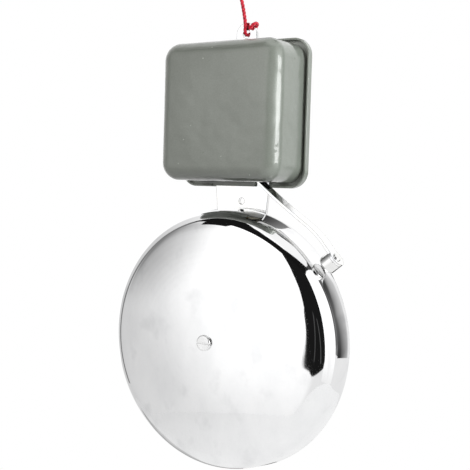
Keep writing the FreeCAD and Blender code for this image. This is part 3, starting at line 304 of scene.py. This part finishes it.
def zinc():
    """Bright zinc on rolled sheet: fine grain along the sheet, soft spangle, a breath of blue,
    painted shade along its edges.
    """
    plate = Finish("bright_zinc", (0.87, 0.87, 0.87, 1), 0.22, 1.0)
    plate.soften_edges(0.0004)
    spangle = plate.noise(0.007, 3)
    base = plate.ramp(spangle, (0.3, tint("F6F7F9")), (0.52, tint("FAFAF9")),
                      (0.72, tint("F6F5F1")))
    stain = plate.ramp(plate.noise(0.0016, 4), (0.66, 0.0), (0.8, 1.0))
    base = plate.mix(stain, base, tint("E4E6E8"))
    # Dark grey painted along every edge: painted shade on the sheet's cut edges.
    plate.colour(plate.mix(plate.edges(0.0006, 1.0), base, tint("515355")))
    grain = plate.noise(0.0008, 3, 0.6, plate.moved(scale=(1, 1, 0.04)))
    plate.gloss(plate.span(grain, 0.09, 0.2))
    plate.bump(grain, 0.000006, 0.25)
    return plate.material


def nickel():
    """Nickel plate on bent strip and turned parts: fine scratches, slightly warm, painted shade
    along the edges.
    """
    plate = Finish("nickel", (0.88, 0.88, 0.87, 1), 0.12, 1.0)
    plate.soften_edges(0.0003)
    cloud = plate.noise(0.006, 4)
    base = plate.ramp(cloud, (0.3, tint("F7F7F6")), (0.7, tint("ECECEB")))
    # Grey painted half way in along the edges: painted shade on the edges of strip and turned parts.
    plate.colour(plate.mix(plate.edges(0.0003, 0.5), base, tint("808080")))
    scratch = plate.noise(0.0006, 4, 0.6, plate.moved(scale=(1, 0.15, 0.08)))
    plate.gloss(plate.span(scratch, 0.06, 0.2))
    plate.bump(scratch, 0.00001, 0.35)
    plate.bump(plate.noise(0.009, 1), 0.00006, 0.25)
    return plate.material


def satin_nickel():
    """The same plate left satin, on the gong's low screw head."""
    plate = Finish("nickel_satin", (0.88, 0.88, 0.88, 1), 0.3, 1.0)
    plate.soften_edges(0.0003)
    cloud = plate.noise(0.003, 4)
    plate.colour(plate.ramp(cloud, (0.3, tint("FCFCFC")), (0.7, tint("F2F2F2"))))
    turned = plate.bands(0.00035, "Y", plate.moved(-gong_centre), "RINGS", 0.3)
    plate.gloss(plate.span(turned, 0.28, 0.42))
    plate.bump(turned, 0.000008, 0.4)
    return plate.material


def spring_steel():
    """Bright rolled spring strip: long brushed grain and a straw shade from tempering."""
    strip = Finish("spring_steel", (0.6, 0.61, 0.63, 1), 0.26, 1.0)
    cloud = strip.noise(0.005, 3)
    strip.colour(strip.ramp(cloud, (0.3, tint("C9CBCF")), (0.6, tint("CFCBC0")),
                            (0.8, tint("BDBFC6"))))
    grain = strip.noise(0.0004, 3, 0.6, strip.moved(scale=(1, 1, 0.03)))
    strip.gloss(strip.span(grain, 0.18, 0.38))
    strip.bump(grain, 0.00001, 0.4)
    return strip.material


def soft_iron():
    """Dull zinc over soft iron: matt, mottled, with small dark pits."""
    iron = Finish("soft_iron", (0.45, 0.46, 0.48, 1), 0.42, 1.0)
    cloud = iron.noise(0.0035, 5, 0.6)
    base = iron.ramp(cloud, (0.3, tint("A4A7AB")), (0.7, tint("BFC0C1")))
    pits = iron.ramp(iron.cells(0.0018), (0.1, 1.0), (0.2, 0.0))
    iron.colour(iron.mix(pits, base, tint("85878A")))
    iron.gloss(iron.span(iron.noise(0.0012, 3), 0.34, 0.55))
    iron.bump(iron.noise(0.0005, 3), 0.00002, 0.5)
    return iron.material


def brass():
    """Turned brass: fine tool rings and a little brown tarnish."""
    turned = Finish("brass", (0.8, 0.62, 0.3, 1), 0.24, 1.0)
    cloud = turned.noise(0.004, 4, 0.6)
    turned.colour(turned.ramp(cloud, (0.35, tint("E3C583")), (0.6, tint("D8B56C")),
                              (0.8, tint("B48C49"))))
    turned.gloss(turned.span(cloud, 0.17, 0.36))
    turned.bump(turned.bands(0.0003, "Y", wobble=0.4), 0.00001, 0.35)
    return turned.material


def silver():
    """Contact silver, lightly burnt where it sparks."""
    tip = Finish("silver", (0.88, 0.87, 0.85, 1), 0.2, 1.0)
    burn = tip.noise(0.0006, 5, 0.65)
    tip.colour(tip.ramp(burn, (0.4, tint("EFEDE8")), (0.62, tint("C9C3B6")), (0.75, tint("7C7368"))))
    tip.gloss(tip.span(burn, 0.12, 0.45))
    tip.bump(burn, 0.00002, 0.4)
    return tip.material


def wire():
    """Layer of enamelled copper wire, close wound: one groove between each two turns, with painted
    shade in it.
    """
    winding = Finish("copper_wire", (0.55, 0.24, 0.1, 1), 0.22, 0.85, Coat_Weight=0.6,
                     Coat_Roughness=0.12)
    turns = winding.bands(0.00045, "X", wobble=0.15)
    cloud = winding.noise(0.004, 3)
    copper = winding.ramp(cloud, (0.3, tint("B4683C")), (0.7, tint("C97E4C")))
    # Dark brown between the turns: painted shade in the grooves between the wires.
    between = winding.ramp(turns, (0.05, 1.0), (0.45, 0.0))
    winding.colour(winding.mix(between, copper, tint("4A2313")))
    winding.gloss(winding.span(cloud, 0.18, 0.32))
    winding.bump(turns, 0.00016, 0.9)
    return winding.material


def phenolic():
    """Black phenolic moulding: nearly flat black with pale flecks of filler."""
    moulding = Finish("bobbin_black", (0.02, 0.02, 0.022, 1), 0.36, 0.0, IOR=1.6)
    fleck = moulding.ramp(moulding.cells(0.0009), (0.12, 1.0), (0.24, 0.0))
    base = moulding.ramp(moulding.noise(0.003, 4), (0.35, tint("1B1B1C")), (0.7, tint("2A2827")))
    moulding.colour(moulding.mix(fleck, base, tint("3E3A36")))
    moulding.gloss(moulding.span(moulding.noise(0.0015, 4), 0.28, 0.48))
    moulding.bump(moulding.noise(0.0006, 2), 0.00002, 0.4)
    return moulding.material


def paper_board():
    """Phenolic paper board: brown, with the paper's cloudy layers."""
    board = Finish("board_brown", (0.1, 0.035, 0.012, 1), 0.4, 0.0, IOR=1.55)
    layers = board.noise(0.003, 6, 0.65, board.moved(scale=(1, 6, 1)))
    board.colour(board.ramp(layers, (0.3, tint("4E2C17")), (0.55, tint("6B3F22")),
                            (0.75, tint("7F512E"))))
    board.gloss(board.span(layers, 0.3, 0.5))
    board.bump(board.noise(0.0005, 3), 0.000015, 0.5)
    return board.material


def urea():
    """Cream urea moulding with a soft shine and a few darker grains."""
    block = Finish("block_cream", (0.7, 0.66, 0.52, 1), 0.28, 0.0, IOR=1.55)
    base = block.ramp(block.noise(0.004, 4), (0.3, tint("E1DAC6")), (0.7, tint("EAE4D3")))
    grain = block.ramp(block.cells(0.0012), (0.09, 1.0), (0.16, 0.0))
    block.colour(block.mix(grain, base, tint("C9BFA4")))
    block.gloss(block.span(block.noise(0.002, 3), 0.22, 0.4))
    block.bump(block.noise(0.0009, 2), 0.00002, 0.4)
    return block.material


def fibre():
    """Vulcanised fibre washer: brick red, matt, with short pressed fibres."""
    washer = Finish("fibre", (0.2, 0.03, 0.015, 1), 0.62)
    hairs = washer.noise(0.0007, 5, 0.7, washer.moved(scale=(1, 1, 0.3)))
    washer.colour(washer.ramp(hairs, (0.3, tint("6E2A1C")), (0.7, tint("8C3D2A"))))
    washer.gloss(washer.span(hairs, 0.52, 0.75))
    washer.bump(hairs, 0.00003, 0.6)
    return washer.material


def rubber():
    """Moulded black rubber with a grey bloom."""
    grommet = Finish("rubber", (0.02, 0.02, 0.02, 1), 0.65)
    bloom = grommet.noise(0.0022, 5, 0.65)
    grommet.colour(grommet.ramp(bloom, (0.35, tint("1F1F1F")), (0.75, tint("3A3A38"))))
    grommet.gloss(grommet.span(bloom, 0.55, 0.8))
    grommet.bump(grommet.noise(0.0005, 3), 0.00003, 0.5)
    return grommet.material


def sleeving():
    """Woven sleeving over the inner leads: a small diagonal weave, with painted shade between its
    threads.
    """
    sleeve = Finish("lead_insulation", (0.05, 0.055, 0.06, 1), 0.6, 0.0, Sheen_Weight=0.3)
    one = sleeve.bands(0.0004, "DIAGONAL")
    other = sleeve.bands(0.0004, "DIAGONAL", sleeve.moved(scale=(1, -1, 1)))
    weave = sleeve.mix(1.0, one, other, "MULTIPLY")
    cloud = sleeve.noise(0.003, 3)
    base = sleeve.ramp(cloud, (0.3, tint("43474B")), (0.7, tint("565A5E")))
    # Dark grey in the low parts of the weave: painted shade between the threads.
    sleeve.colour(sleeve.mix(sleeve.ramp(weave, (0.05, 0.6), (0.5, 0.0)), base, tint("26282A")))
    sleeve.bump(weave, 0.00008, 0.7)
    return sleeve.material


def red_twine():
    """Crimson synthetic twine: glossy filaments along each ply, paler where they rub, painted shade
    in the grooves.
    """
    twine = Finish("red_cord", (0.5, 0.008, 0.025, 1), 0.42, 0.0, Sheen_Weight=0.12,
                   Sheen_Roughness=0.4)
    worn = twine.noise(0.0025, 3)
    twine.place = twine.add("ShaderNodeUVMap", uv_map="UVMap").outputs["UV"]  # along each ply
    threads = twine.noise(1, 3, 0.6, twine.moved(scale=(26, 16, 1)))
    grooves = twine.bands(1 / 15, "X", wobble=0.5)
    base = twine.ramp(threads, (0.3, tint("A50B1D")), (0.5, tint("D8142F")), (0.72, tint("EA4A62")))
    base = twine.mix(twine.ramp(worn, (0.45, 0.0), (0.8, 0.35)), base, tint("E0566E"))
    # Dark red in the grooves: painted shade between the filaments.
    twine.colour(twine.mix(twine.ramp(grooves, (0.0, 0.5), (0.35, 0.0)), base, tint("8E0A18")))
    twine.gloss(twine.span(threads, 0.3, 0.55))
    twine.bump(grooves, 0.00005, 0.6)
    twine.bump(threads, 0.00004, 0.5)
    return twine.material


finishes = {
    "case_paint": enamel(),
    "gong_chrome": chrome(),
    "bright_zinc": zinc(),
    "nickel": nickel(),
    "nickel_satin": satin_nickel(),
    "spring_steel": spring_steel(),
    "soft_iron": soft_iron(),
    "brass": brass(),
    "silver": silver(),
    "copper_wire": wire(),
    "bobbin_black": phenolic(),
    "board_brown": paper_board(),
    "block_cream": urea(),
    "fibre": fibre(),
    "rubber": rubber(),
    "lead_insulation": sleeving(),
    "red_cord": red_twine(),
}


def coat(piece, finish):
    """Gives a piece one finish all over."""
    piece.data.materials.clear()
    piece.data.materials.append(finishes[finish])


def add_piece(piece, body, finish, stands_for):
    """Finishes a new piece that stands for a node and rides on a body."""
    coat(piece, finish)
    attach(piece, body)
    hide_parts(stands_for)


for subpart in frame["record"]["subparts"]:
    coat(nodes[subpart["node"]], subpart["material_slot"])
coat(nodes["gong_screw"], "nickel_satin")


# --- camera -----------------------------------------------------------------------------------
def set_camera():
    """Looks at the bell from its right front and a little above, slightly rolled."""
    data = bpy.data.cameras.new("camera")
    data.sensor_fit = "HORIZONTAL"
    data.lens = 72.41
    data.clip_start = 0.01
    camera = bpy.data.objects.new("camera", data)
    bpy.context.scene.collection.objects.link(camera)
    azimuth, elevation, roll = (math.radians(angle) for angle in (32.574, 2.688, 1.702))
    target, distance = Vector((-0.000505, -0.0072, -0.019702)), 0.546588
    turn = (Matrix.Rotation(azimuth, 4, "Z") @ Matrix.Rotation(math.pi / 2 - elevation, 4, "X")
            @ Matrix.Rotation(roll, 4, "Z"))
    back = Matrix.Translation((0, 0, distance))
    camera.matrix_world = Matrix.Translation(target) @ turn @ back
    bpy.context.scene.camera = camera


set_camera()


# --- cord -------------------------------------------------------------------------------------
twine_pitch = 0.0065


def draw_spline(name, points, radius=0.0, kind="NURBS"):
    """A curve along one smooth spline, round where it has a radius."""
    curve = bpy.data.curves.new(name, "CURVE")
    curve.dimensions = "3D"
    curve.bevel_depth = radius
    curve.bevel_resolution = 3
    curve.resolution_u = 14
    curve.use_fill_caps = True
    spline = curve.splines.new(kind)
    spline.points.add(len(points) - 1)
    for place, point in zip(spline.points, points):
        place.co = (*point, 1)
    spline.order_u = 3
    spline.use_endpoint_u = True
    line = bpy.data.objects.new(name, curve)
    bpy.context.scene.collection.objects.link(line)
    return line


def read_line(route):
    """Points along the smooth line that has these control points."""
    guide = draw_spline("guide", route)
    bpy.context.view_layer.update()
    mesh = bpy.data.meshes.new_from_object(guide.evaluated_get(
        bpy.context.evaluated_depsgraph_get()))
    line = [vertex.co.copy() for vertex in mesh.vertices]
    bpy.data.meshes.remove(mesh)
    bpy.data.objects.remove(guide)
    return line


def lay_plies(name, line, radius, pitch):
    """Twine of three plies laid round a line, as one mesh; pitch is the length of one turn."""
    count = 3
    ply_radius = radius * 0.5
    plies = []
    for ply in range(count):
        side = (line[1] - line[0]).orthogonal().normalized()
        turned, wound = 0.0, []
        for at, point in enumerate(line):
            before, after = line[max(at - 1, 0)], line[min(at + 1, len(line) - 1)]
            along = (after - before).normalized()
            side = (side - along * side.dot(along)).normalized()
            turned += (point - line[max(at - 1, 0)]).length / pitch
            angle = 2 * math.pi * (turned + ply / count)
            outward = side * math.cos(angle) + along.cross(side) * math.sin(angle)
            wound.append(point + outward * (radius - ply_radius))
        plies.append(draw_spline(f"ply_{ply}", wound, ply_radius, "POLY"))
    drop_selection()
    for ply in plies:
        ply.select_set(True)
    bpy.context.view_layer.objects.active = plies[0]
    bpy.ops.object.convert(target="MESH")
    bpy.ops.object.join()
    twine = bpy.context.object
    settle(twine, name)
    bpy.ops.object.shade_smooth_by_angle(angle=math.radians(60))
    return twine


def tie_knot(foot, along):
    """Overhand knot above the cord's end, with a short tail."""
    across = along.orthogonal().normalized()
    other = along.cross(across)
    lobe, middle, depth, steps = 0.00058, 0.0025, 0.00135, 96
    turns = []
    for step in range(steps + 1):
        angle = math.radians(200) + 2 * math.pi * 0.97 * step / steps  # all but closed
        wide = lobe * (math.sin(angle) + 2 * math.sin(2 * angle))
        deep = lobe * (math.cos(angle) - 2 * math.cos(2 * angle))
        rise = middle - depth * math.sin(3 * angle)
        turns.append(foot + across * wide + other * deep + along * rise)
    knot = lay_plies("knot", turns, 0.00108, 0.006)
    neck = [foot, foot + along * 0.0012, foot + along * 0.0024 + across * 0.0005]
    tail = [foot + along * 0.0028 + across * 0.0002, foot + along * 0.004 + across * 0.0004,
            foot + along * 0.0043 + across * 0.0011]
    ends = [lay_plies("neck", read_line(neck), 0.0011, twine_pitch),
            lay_plies("tail", read_line(tail), 0.00095, twine_pitch)]
    pick(knot)
    for end in ends:
        end.select_set(True)
    bpy.ops.object.join()
    return knot


def hang_cord():
    """Twine hitched through the hanging hole, up to its knot."""
    route = [Vector(point) for point in (
        (0.0027, -0.0034, 0.0988), (0.0057, -0.0034, 0.1021), (0.0057, 0.0016, 0.1021),
        (-0.0002, 0.0016, 0.0958), (-0.0004, -0.0034, 0.0958), (0.0002, -0.0036, 0.1012),
        (-0.0008, -0.0036, 0.1068), (-0.0027, -0.0034, 0.1146), (-0.0056, -0.0035, 0.124))]
    line = read_line(route)
    twine = lay_plies("twine", line, 0.0011, twine_pitch)
    add_piece(twine, "base", "red_cord", "hanging_cord")
    knot = tie_knot(route[-1], (route[-1] - route[-2]).normalized())
    add_piece(knot, "base", "red_cord", "cord_knot")


hang_cord()


# --- gong -------------------------------------------------------------------------------------
def gong_profile():
    """Radius and height of the gong's outside, from the open edge to the hole in the crown.

    A straight skirt narrows a little, and runs by a round shoulder into a crown of one radius.
    """
    rim, tall, hole = 0.075, 0.029, 0.0022
    narrowing, shoulder = 0.0014, 0.013
    shoulder_steps, crown_steps = 18, 32
    taper = math.atan2(narrowing, gong_skirt)
    middle = rim - narrowing - shoulder * math.cos(taper)
    level = gong_skirt - shoulder * math.sin(taper)
    rise = tall - level
    crown = (middle ** 2 + rise ** 2 - shoulder ** 2) / (2 * (rise - shoulder))
    turn = math.atan2(level - tall + crown, middle)
    last = math.acos(hole / crown)
    profile = [(rim - narrowing * share, gong_skirt * share) for share in (0, 0.25, 0.5, 0.75)]
    for step in range(shoulder_steps):
        angle = taper + (turn - taper) * step / shoulder_steps
        profile.append((middle + shoulder * math.cos(angle), level + shoulder * math.sin(angle)))
    for step in range(crown_steps + 1):
        angle = turn + (last - turn) * step / crown_steps
        profile.append((crown * math.cos(angle), tall - crown + crown * math.sin(angle)))
    return profile


def spin_gong():
    """Gong spun in one sheet: a ring of sheet drawn up the skirt, over the shoulder and crown."""
    profile = gong_profile()
    rim, wall = profile[0][0], 0.0016
    drop_selection()
    bpy.ops.mesh.primitive_circle_add(vertices=192, radius=rim, rotation=(math.pi / 2, 0, 0),
                                      location=(0, gong_rim_y, gong_centre.z))
    gong = bpy.context.object
    settle(gong, "gong_shell")
    bpy.ops.object.mode_set(mode="EDIT")
    bpy.ops.mesh.select_all(action="SELECT")
    for (radius, height), (next_radius, next_height) in zip(profile, profile[1:]):
        bpy.ops.mesh.extrude_edges_move(
            TRANSFORM_OT_translate={"value": (0, height - next_height, 0)})
        grow = next_radius / radius
        bpy.ops.transform.resize(value=(grow, 1, grow), center_override=gong_centre)
    bpy.ops.mesh.select_all(action="SELECT")
    bpy.ops.mesh.remove_doubles(threshold=0.000001)
    bpy.ops.mesh.normals_make_consistent(inside=False)
    bpy.ops.object.mode_set(mode="OBJECT")
    apply_modifier(gong, "SOLIDIFY", thickness=wall, offset=-1, use_even_offset=True)
    apply_modifier(gong, "BEVEL", width=0.0003, segments=3, limit_method="ANGLE",
                   angle_limit=math.radians(50))
    pick(gong)
    bpy.ops.object.shade_smooth_by_angle(angle=math.radians(35))
    add_piece(gong, "base", "gong_chrome", "gong")


spin_gong()


# --- suspension spring ------------------------------------------------------------------------
def bend_suspension():
    """Leaf between its clamp and the armature, cut across into even lengths; the real leaf bends
    over its free length.
    """
    lengths = 21
    low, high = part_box("suspension_spring")
    size = high - low
    drop_selection()
    bpy.ops.mesh.primitive_cube_add(size=1, location=(low + high) / 2, scale=size)
    leaf = bpy.context.object
    settle(leaf, "suspension_leaf")
    bpy.ops.object.mode_set(mode="EDIT")
    for cut in range(1, lengths):
        bpy.ops.mesh.select_all(action="SELECT")
        bpy.ops.mesh.bisect(plane_co=(0, 0, low.z + size.z * cut / lengths), plane_no=(0, 0, 1))
    bpy.ops.object.mode_set(mode="OBJECT")
    apply_modifier(leaf, "BEVEL", width=0.00006, segments=2, limit_method="ANGLE",
                   angle_limit=math.radians(50))
    coat(leaf, "spring_steel")
    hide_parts("suspension_spring")
    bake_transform(leaf)


bend_suspension()


# --- studio -----------------------------------------------------------------------------------
def choose(tree, share, first, second):
    """Number between two others; each may be a node's output."""
    node = tree.nodes.new("ShaderNodeMix")
    for socket, value in zip((node.inputs[0], node.inputs[2], node.inputs[3]),
                             (share, first, second)):
        if hasattr(value, "links"):
            tree.links.new(value, socket)
        else:
            socket.default_value = value
    return node.outputs[0]


def by_ray(tree, target, lens, metal, rest):
    """Feeds target with one strength for the lens, one for metal and glass, one for the rest."""
    paths = tree.nodes.new("ShaderNodeLightPath")
    either = tree.nodes.new("ShaderNodeMath")
    either.operation = "MAXIMUM"
    tree.links.new(paths.outputs["Is Glossy Ray"], either.inputs[0])
    tree.links.new(paths.outputs["Is Transmission Ray"], either.inputs[1])
    strength = choose(tree, either.outputs[0], rest, metal)
    tree.links.new(choose(tree, paths.outputs["Is Camera Ray"], strength, lens), target)


def graded(tree, value, from_low, from_high, low, high):
    """Value's own range turned into another one, with soft ends."""
    span = tree.nodes.new("ShaderNodeMapRange")
    span.interpolation_type = "SMOOTHSTEP"
    for socket, number in zip(("From Min", "From Max", "To Min", "To Max"),
                              (from_low, from_high, low, high)):
        span.inputs[socket].default_value = number
    tree.links.new(value, span.inputs["Value"])
    return span.outputs["Result"]


def total(tree, *values):
    """Sum of several nodes' outputs."""
    whole = values[0]
    for value in values[1:]:
        add = tree.nodes.new("ShaderNodeMath")
        add.operation = "ADD"
        tree.links.new(whole, add.inputs[0])
        tree.links.new(value, add.inputs[1])
        whole = add.outputs[0]
    return whole


def facing(tree, heading, way):
    """How nearly a heading points one way: 1 when it does."""
    node = tree.nodes.new("ShaderNodeVectorMath")
    node.operation = "DOT_PRODUCT"
    tree.links.new(heading, node.inputs[0])
    node.inputs[1].default_value = way
    return node.outputs["Value"]


def build_world():
    """White for the lens. Metal finds it greyer on the left, lighter above, and in three patches."""
    world = bpy.data.worlds.new("studio")
    world.use_nodes = True
    tree = world.node_tree
    background = tree.nodes["Background"]
    background.inputs["Color"].default_value = (1, 1, 1, 1)
    heading = tree.nodes.new("ShaderNodeTexCoord").outputs["Generated"]
    way = tree.nodes.new("ShaderNodeSeparateXYZ")
    tree.links.new(heading, way.inputs["Vector"])
    in_front = facing(tree, heading, (-0.161, -0.913, 0.375))
    front_left = facing(tree, heading, (-0.786, -0.5, 0.365))
    behind = facing(tree, heading, (0.044, 0.847, 0.53))
    metal = total(tree, graded(tree, way.outputs["X"], -0.98, -0.4, 0.66, 0.86),
                  graded(tree, in_front, 0.55, 0.95, 0.0, 0.4),
                  graded(tree, front_left, 0.9, 0.99, 0.0, -0.45),
                  graded(tree, behind, 0.9, 0.98, 0.0, 0.2),
                  graded(tree, way.outputs["Z"], 0.3, 0.8, 0.0, 0.15))
    rest = graded(tree, way.outputs["Z"], -0.3, 0.6, 0.03, 0.22)
    by_ray(tree, background.inputs["Strength"], 1.0, metal, rest)
    bpy.context.scene.world = world


def build_floor():
    """Pale round floor well below the hanging bell. It keeps the bell's shadow."""
    middle = (0, 0, -0.36)
    drop_selection()
    bpy.ops.mesh.primitive_circle_add(vertices=96, radius=0.55, fill_type="NGON", location=middle)
    floor = bpy.context.object
    settle(floor, "floor")
    pale = bpy.data.materials.new("floor")
    pale.use_nodes = True
    tree = pale.node_tree
    shader = tree.nodes["Principled BSDF"]
    shader.inputs["Base Color"].default_value = (0.14, 0.14, 0.14, 1)
    shader.inputs["Roughness"].default_value = 0.9
    shader.inputs["Specular IOR Level"].default_value = 0.1
    shader.inputs["Emission Color"].default_value = (1, 1, 1, 1)
    spot = tree.nodes.new("ShaderNodeTexCoord").outputs["Object"]
    way = tree.nodes.new("ShaderNodeSeparateXYZ")
    tree.links.new(spot, way.inputs["Vector"])
    outward = tree.nodes.new("ShaderNodeVectorMath")
    outward.operation = "DISTANCE"
    outward.inputs[1].default_value = middle
    tree.links.new(spot, outward.inputs[0])
    lens = graded(tree, outward.outputs["Value"], 0.12, 0.5, 0.8, 1.0)
    metal = graded(tree, way.outputs["X"], -0.5, -0.05, 0.6, 0.8)
    by_ray(tree, shader.inputs["Emission Strength"], lens, metal, 0.0)
    floor.data.materials.append(pale)


def toward(azimuth, elevation, distance, centre=gong_centre):
    """Place at that distance; azimuth 0 is in front of the bell and 90 at its right."""
    turn, lift = math.radians(azimuth), math.radians(elevation)
    way = Vector((math.sin(turn) * math.cos(lift), -math.cos(turn) * math.cos(lift),
                  math.sin(lift)))
    return centre + way * distance


def add_lamp(name, azimuth, elevation, distance, width, height, watts, colour=(1, 1, 1)):
    """Soft lamp turned to the case. Polished metal doesn't show it."""
    data = bpy.data.lights.new(name, "AREA")
    data.shape = "RECTANGLE"
    data.size = width
    data.size_y = height
    data.energy = watts
    data.color = colour
    lamp = bpy.data.objects.new(name, data)
    bpy.context.scene.collection.objects.link(lamp)
    centre = Vector((0, -0.015, 0.03))
    lamp.location = toward(azimuth, elevation, distance, centre)
    lamp.rotation_euler = (lamp.location - centre).to_track_quat("Z", "Y").to_euler()
    lamp.visible_glossy = False


def add_screen(name, brightness, *corners, distance=2.0, centre=gong_centre):
    """Screen or black flag that stands round the bell and shows in polished metal alone.

    A corner is its azimuth and elevation, and its own brightness where it has one.
    """
    drop_selection()
    bpy.ops.mesh.primitive_circle_add(vertices=len(corners), radius=1, fill_type="NGON")
    screen = bpy.context.object
    glow = screen.data.attributes.new("glow", "FLOAT", "POINT")
    for vertex, value, corner in zip(screen.data.vertices, glow.data, corners):
        vertex.co = toward(*corner[:2], distance, centre)
        value.value = corner[2] if len(corner) > 2 else brightness
    settle(screen, name)
    cloth = bpy.data.materials.new(name)
    cloth.use_nodes = True
    shader = cloth.node_tree.nodes["Principled BSDF"]
    shader.inputs["Base Color"].default_value = (0, 0, 0, 1)
    shader.inputs["Specular IOR Level"].default_value = 0
    shader.inputs["Emission Color"].default_value = (1, 1, 1, 1)
    light = cloth.node_tree.nodes.new("ShaderNodeAttribute")
    light.attribute_name = "glow"
    cloth.node_tree.links.new(light.outputs["Fac"], shader.inputs["Emission Strength"])
    screen.data.materials.append(cloth)
    screen.visible_camera = False
    screen.visible_diffuse = False
    screen.visible_transmission = False
    screen.visible_shadow = False


def set_lamps():
    """Lamps for the case's right side and its front, and fills from the left and from behind."""
    add_lamp("key_lamp", 86, 10, 1.6, 1.1, 0.8, 25, (0.95, 1.0, 1.01))
    add_lamp("front_lamp", -14, 12, 1.8, 1.4, 0.7, 11.3)
    add_lamp("right_front_lamp", 42, 10, 1.8, 1.0, 0.7, 4.7)
    add_lamp("left_fill", -98, 16, 1.8, 1.4, 0.8, 7)
    add_lamp("back_fill", 176, 20, 1.8, 1.4, 0.8, 15)


def set_white_screens():
    """White screens at the right and behind, and the strip that shines on the cover's edge."""
    add_screen("white_right", 1.3, (60, -25, 0.95), (90, -28, 0.95), (119, -27, 0.95), (119, 0),
               (119, 46), (60, 46), (60, 0))
    add_screen("white_back", 1.15, (-144, -12), (-122, -14), (-110, -14, 0.8), (-110, 40, 0.8),
               (-122, 40), (-144, 40))
    add_screen("strip_light", 10.0, (74, 0), (92, 0), (107, 0), (107, 9.5), (92, 9.5), (74, 9.5),
               distance=1.1, centre=Vector((0, -0.015, 0.05)))


def set_dark_flags():
    """Flags for the dark band over the crown and down its right side, and the two lines in it."""
    add_screen("flag_front", 0.01, (-5, -13), (15, -18), (38, -18), (64, -17), (65, -9), (61, -4),
               (59, 20), (59, 47), (12, 47), (10, 30), (4, 14), (-4, 2))
    add_screen("flag_ceiling_left", 0.008, (-78, 38), (-68, 43), (-60, 44), (-50, 34), (-34, 34),
               (-34, 43.5), (-22, 43.5), (-10, 43.5), (-10, 65), (-22, 67), (-36, 71), (-52, 72),
               (-70, 63))
    add_screen("flag_ceiling_right", 0.008, (-10, 43.5), (3, 43.5), (16, 43.5), (30, 44), (46, 44),
               (63, 44), (78, 45.5), (92, 46.5), (92, 52.5), (78, 56), (63, 59), (46, 60), (30, 60),
               (14, 61), (0, 62), (-10, 65))
    add_screen("flag_ridge", 0.06, (92, 46.5), (110, 45.5), (128, 45), (145, 44), (145, 51),
               (128, 51), (110, 51.5), (92, 52.5))
    add_screen("figure_left", 0.07, (13, -12), (17, -12), (29, 10), (27, 12), distance=1.5)
    add_screen("figure_right", 0.09, (40, 10), (37, 11), (44, -14), (48, -14), distance=1.5)


def set_side_flags():
    """Flags for the skirt: at the right, behind, at the left and low down."""
    add_screen("flag_high", 0.1, (140, 57), (160, 58), (180, 57), (180, 74), (140, 74))
    add_screen("flag_side_high", 0.07, (120, 19), (140.5, 19, 0.28), (140.5, 40, 0.2), (120, 38))
    add_screen("flag_side_middle", 0.16, (120, -3, 0.13), (140.5, -3), (140.5, 19, 0.28),
               (120, 19, 0.07))
    add_screen("flag_side_low", 0.05, (120, -9, 0.3), (140.5, -11), (140.5, -3, 0.16),
               (120, -3, 0.13))
    behind = {"distance": 0.17, "centre": Vector((0.03, -0.011, -0.01))}
    add_screen("flag_behind_near", 0.02, (-164, 24, 0.15), (-152, 24), (-152, 54), (-164, 54, 0.15),
               **behind)
    add_screen("flag_behind_far", 0.28, (-171.5, 26), (-164, 24, 0.15), (-164, 54, 0.15), (-173, 54),
               **behind)
    add_screen("flag_left", 0.22, (-92, -22), (-80, -22), (-77, 0), (-72, 20), (-67, 42), (-78, 42),
               (-83, 20), (-88, 0))
    add_screen("flag_low", 0.34, (-150, -30), (-120, -34), (-92, -31), (-78, -42, 0.7),
               (-92, -52, 0.6), (-120, -57, 0.6), (-150, -52, 0.5), distance=0.35)
    add_screen("flag_back", 0.03, (-153, -32), (-145, -32), (-145, 42), (-153, 42))


def set_rim_flags():
    """Flags close to the gong's right side with soft borders, a dark line, and one by the arm."""
    inner, border_end = 134, 0.75
    close = {"distance": 0.14, "centre": Vector((0.033, -0.054, -0.074))}
    # elevation, azimuths where the border begins and ends, and the flag's own brightness
    levels = ((-10, 139, 149, 0.03), (0, 138, 149, 0.09), (12, 137, 148, 0.13),
              (20, 140, 150, 0.1), (31, 146, 154, 0.05))
    for step, (low, high) in enumerate(zip(levels, levels[1:])):
        low_el, low_edge, low_end, low_glow = low
        high_el, high_edge, high_end, high_glow = high
        add_screen(f"flag_rim_{step}", low_glow, (inner, low_el), (low_edge, low_el),
                   (high_edge, high_el, high_glow), (inner, high_el, high_glow), **close)
        add_screen(f"flag_rim_edge_{step}", border_end, (low_edge, low_el, low_glow),
                   (low_end, low_el), (high_end, high_el), (high_edge, high_el, high_glow), **close)
    add_screen("flag_rim_line", 0.02, (157, -10), (168, -10), (168, 28), (157, 28), distance=0.1,
               centre=close["centre"])
    add_screen("flag_arm", 0.06, (150, 39), (197, 39), (197, 23, 0.8), (150, 23, 0.8),
               distance=0.03, centre=Vector((0.04, -0.0158, -0.002)))


build_world()
build_floor()
set_lamps()
set_white_screens()
set_dark_flags()
set_side_flags()
set_rim_flags()
bpy.context.scene.view_settings.view_transform = "Standard"
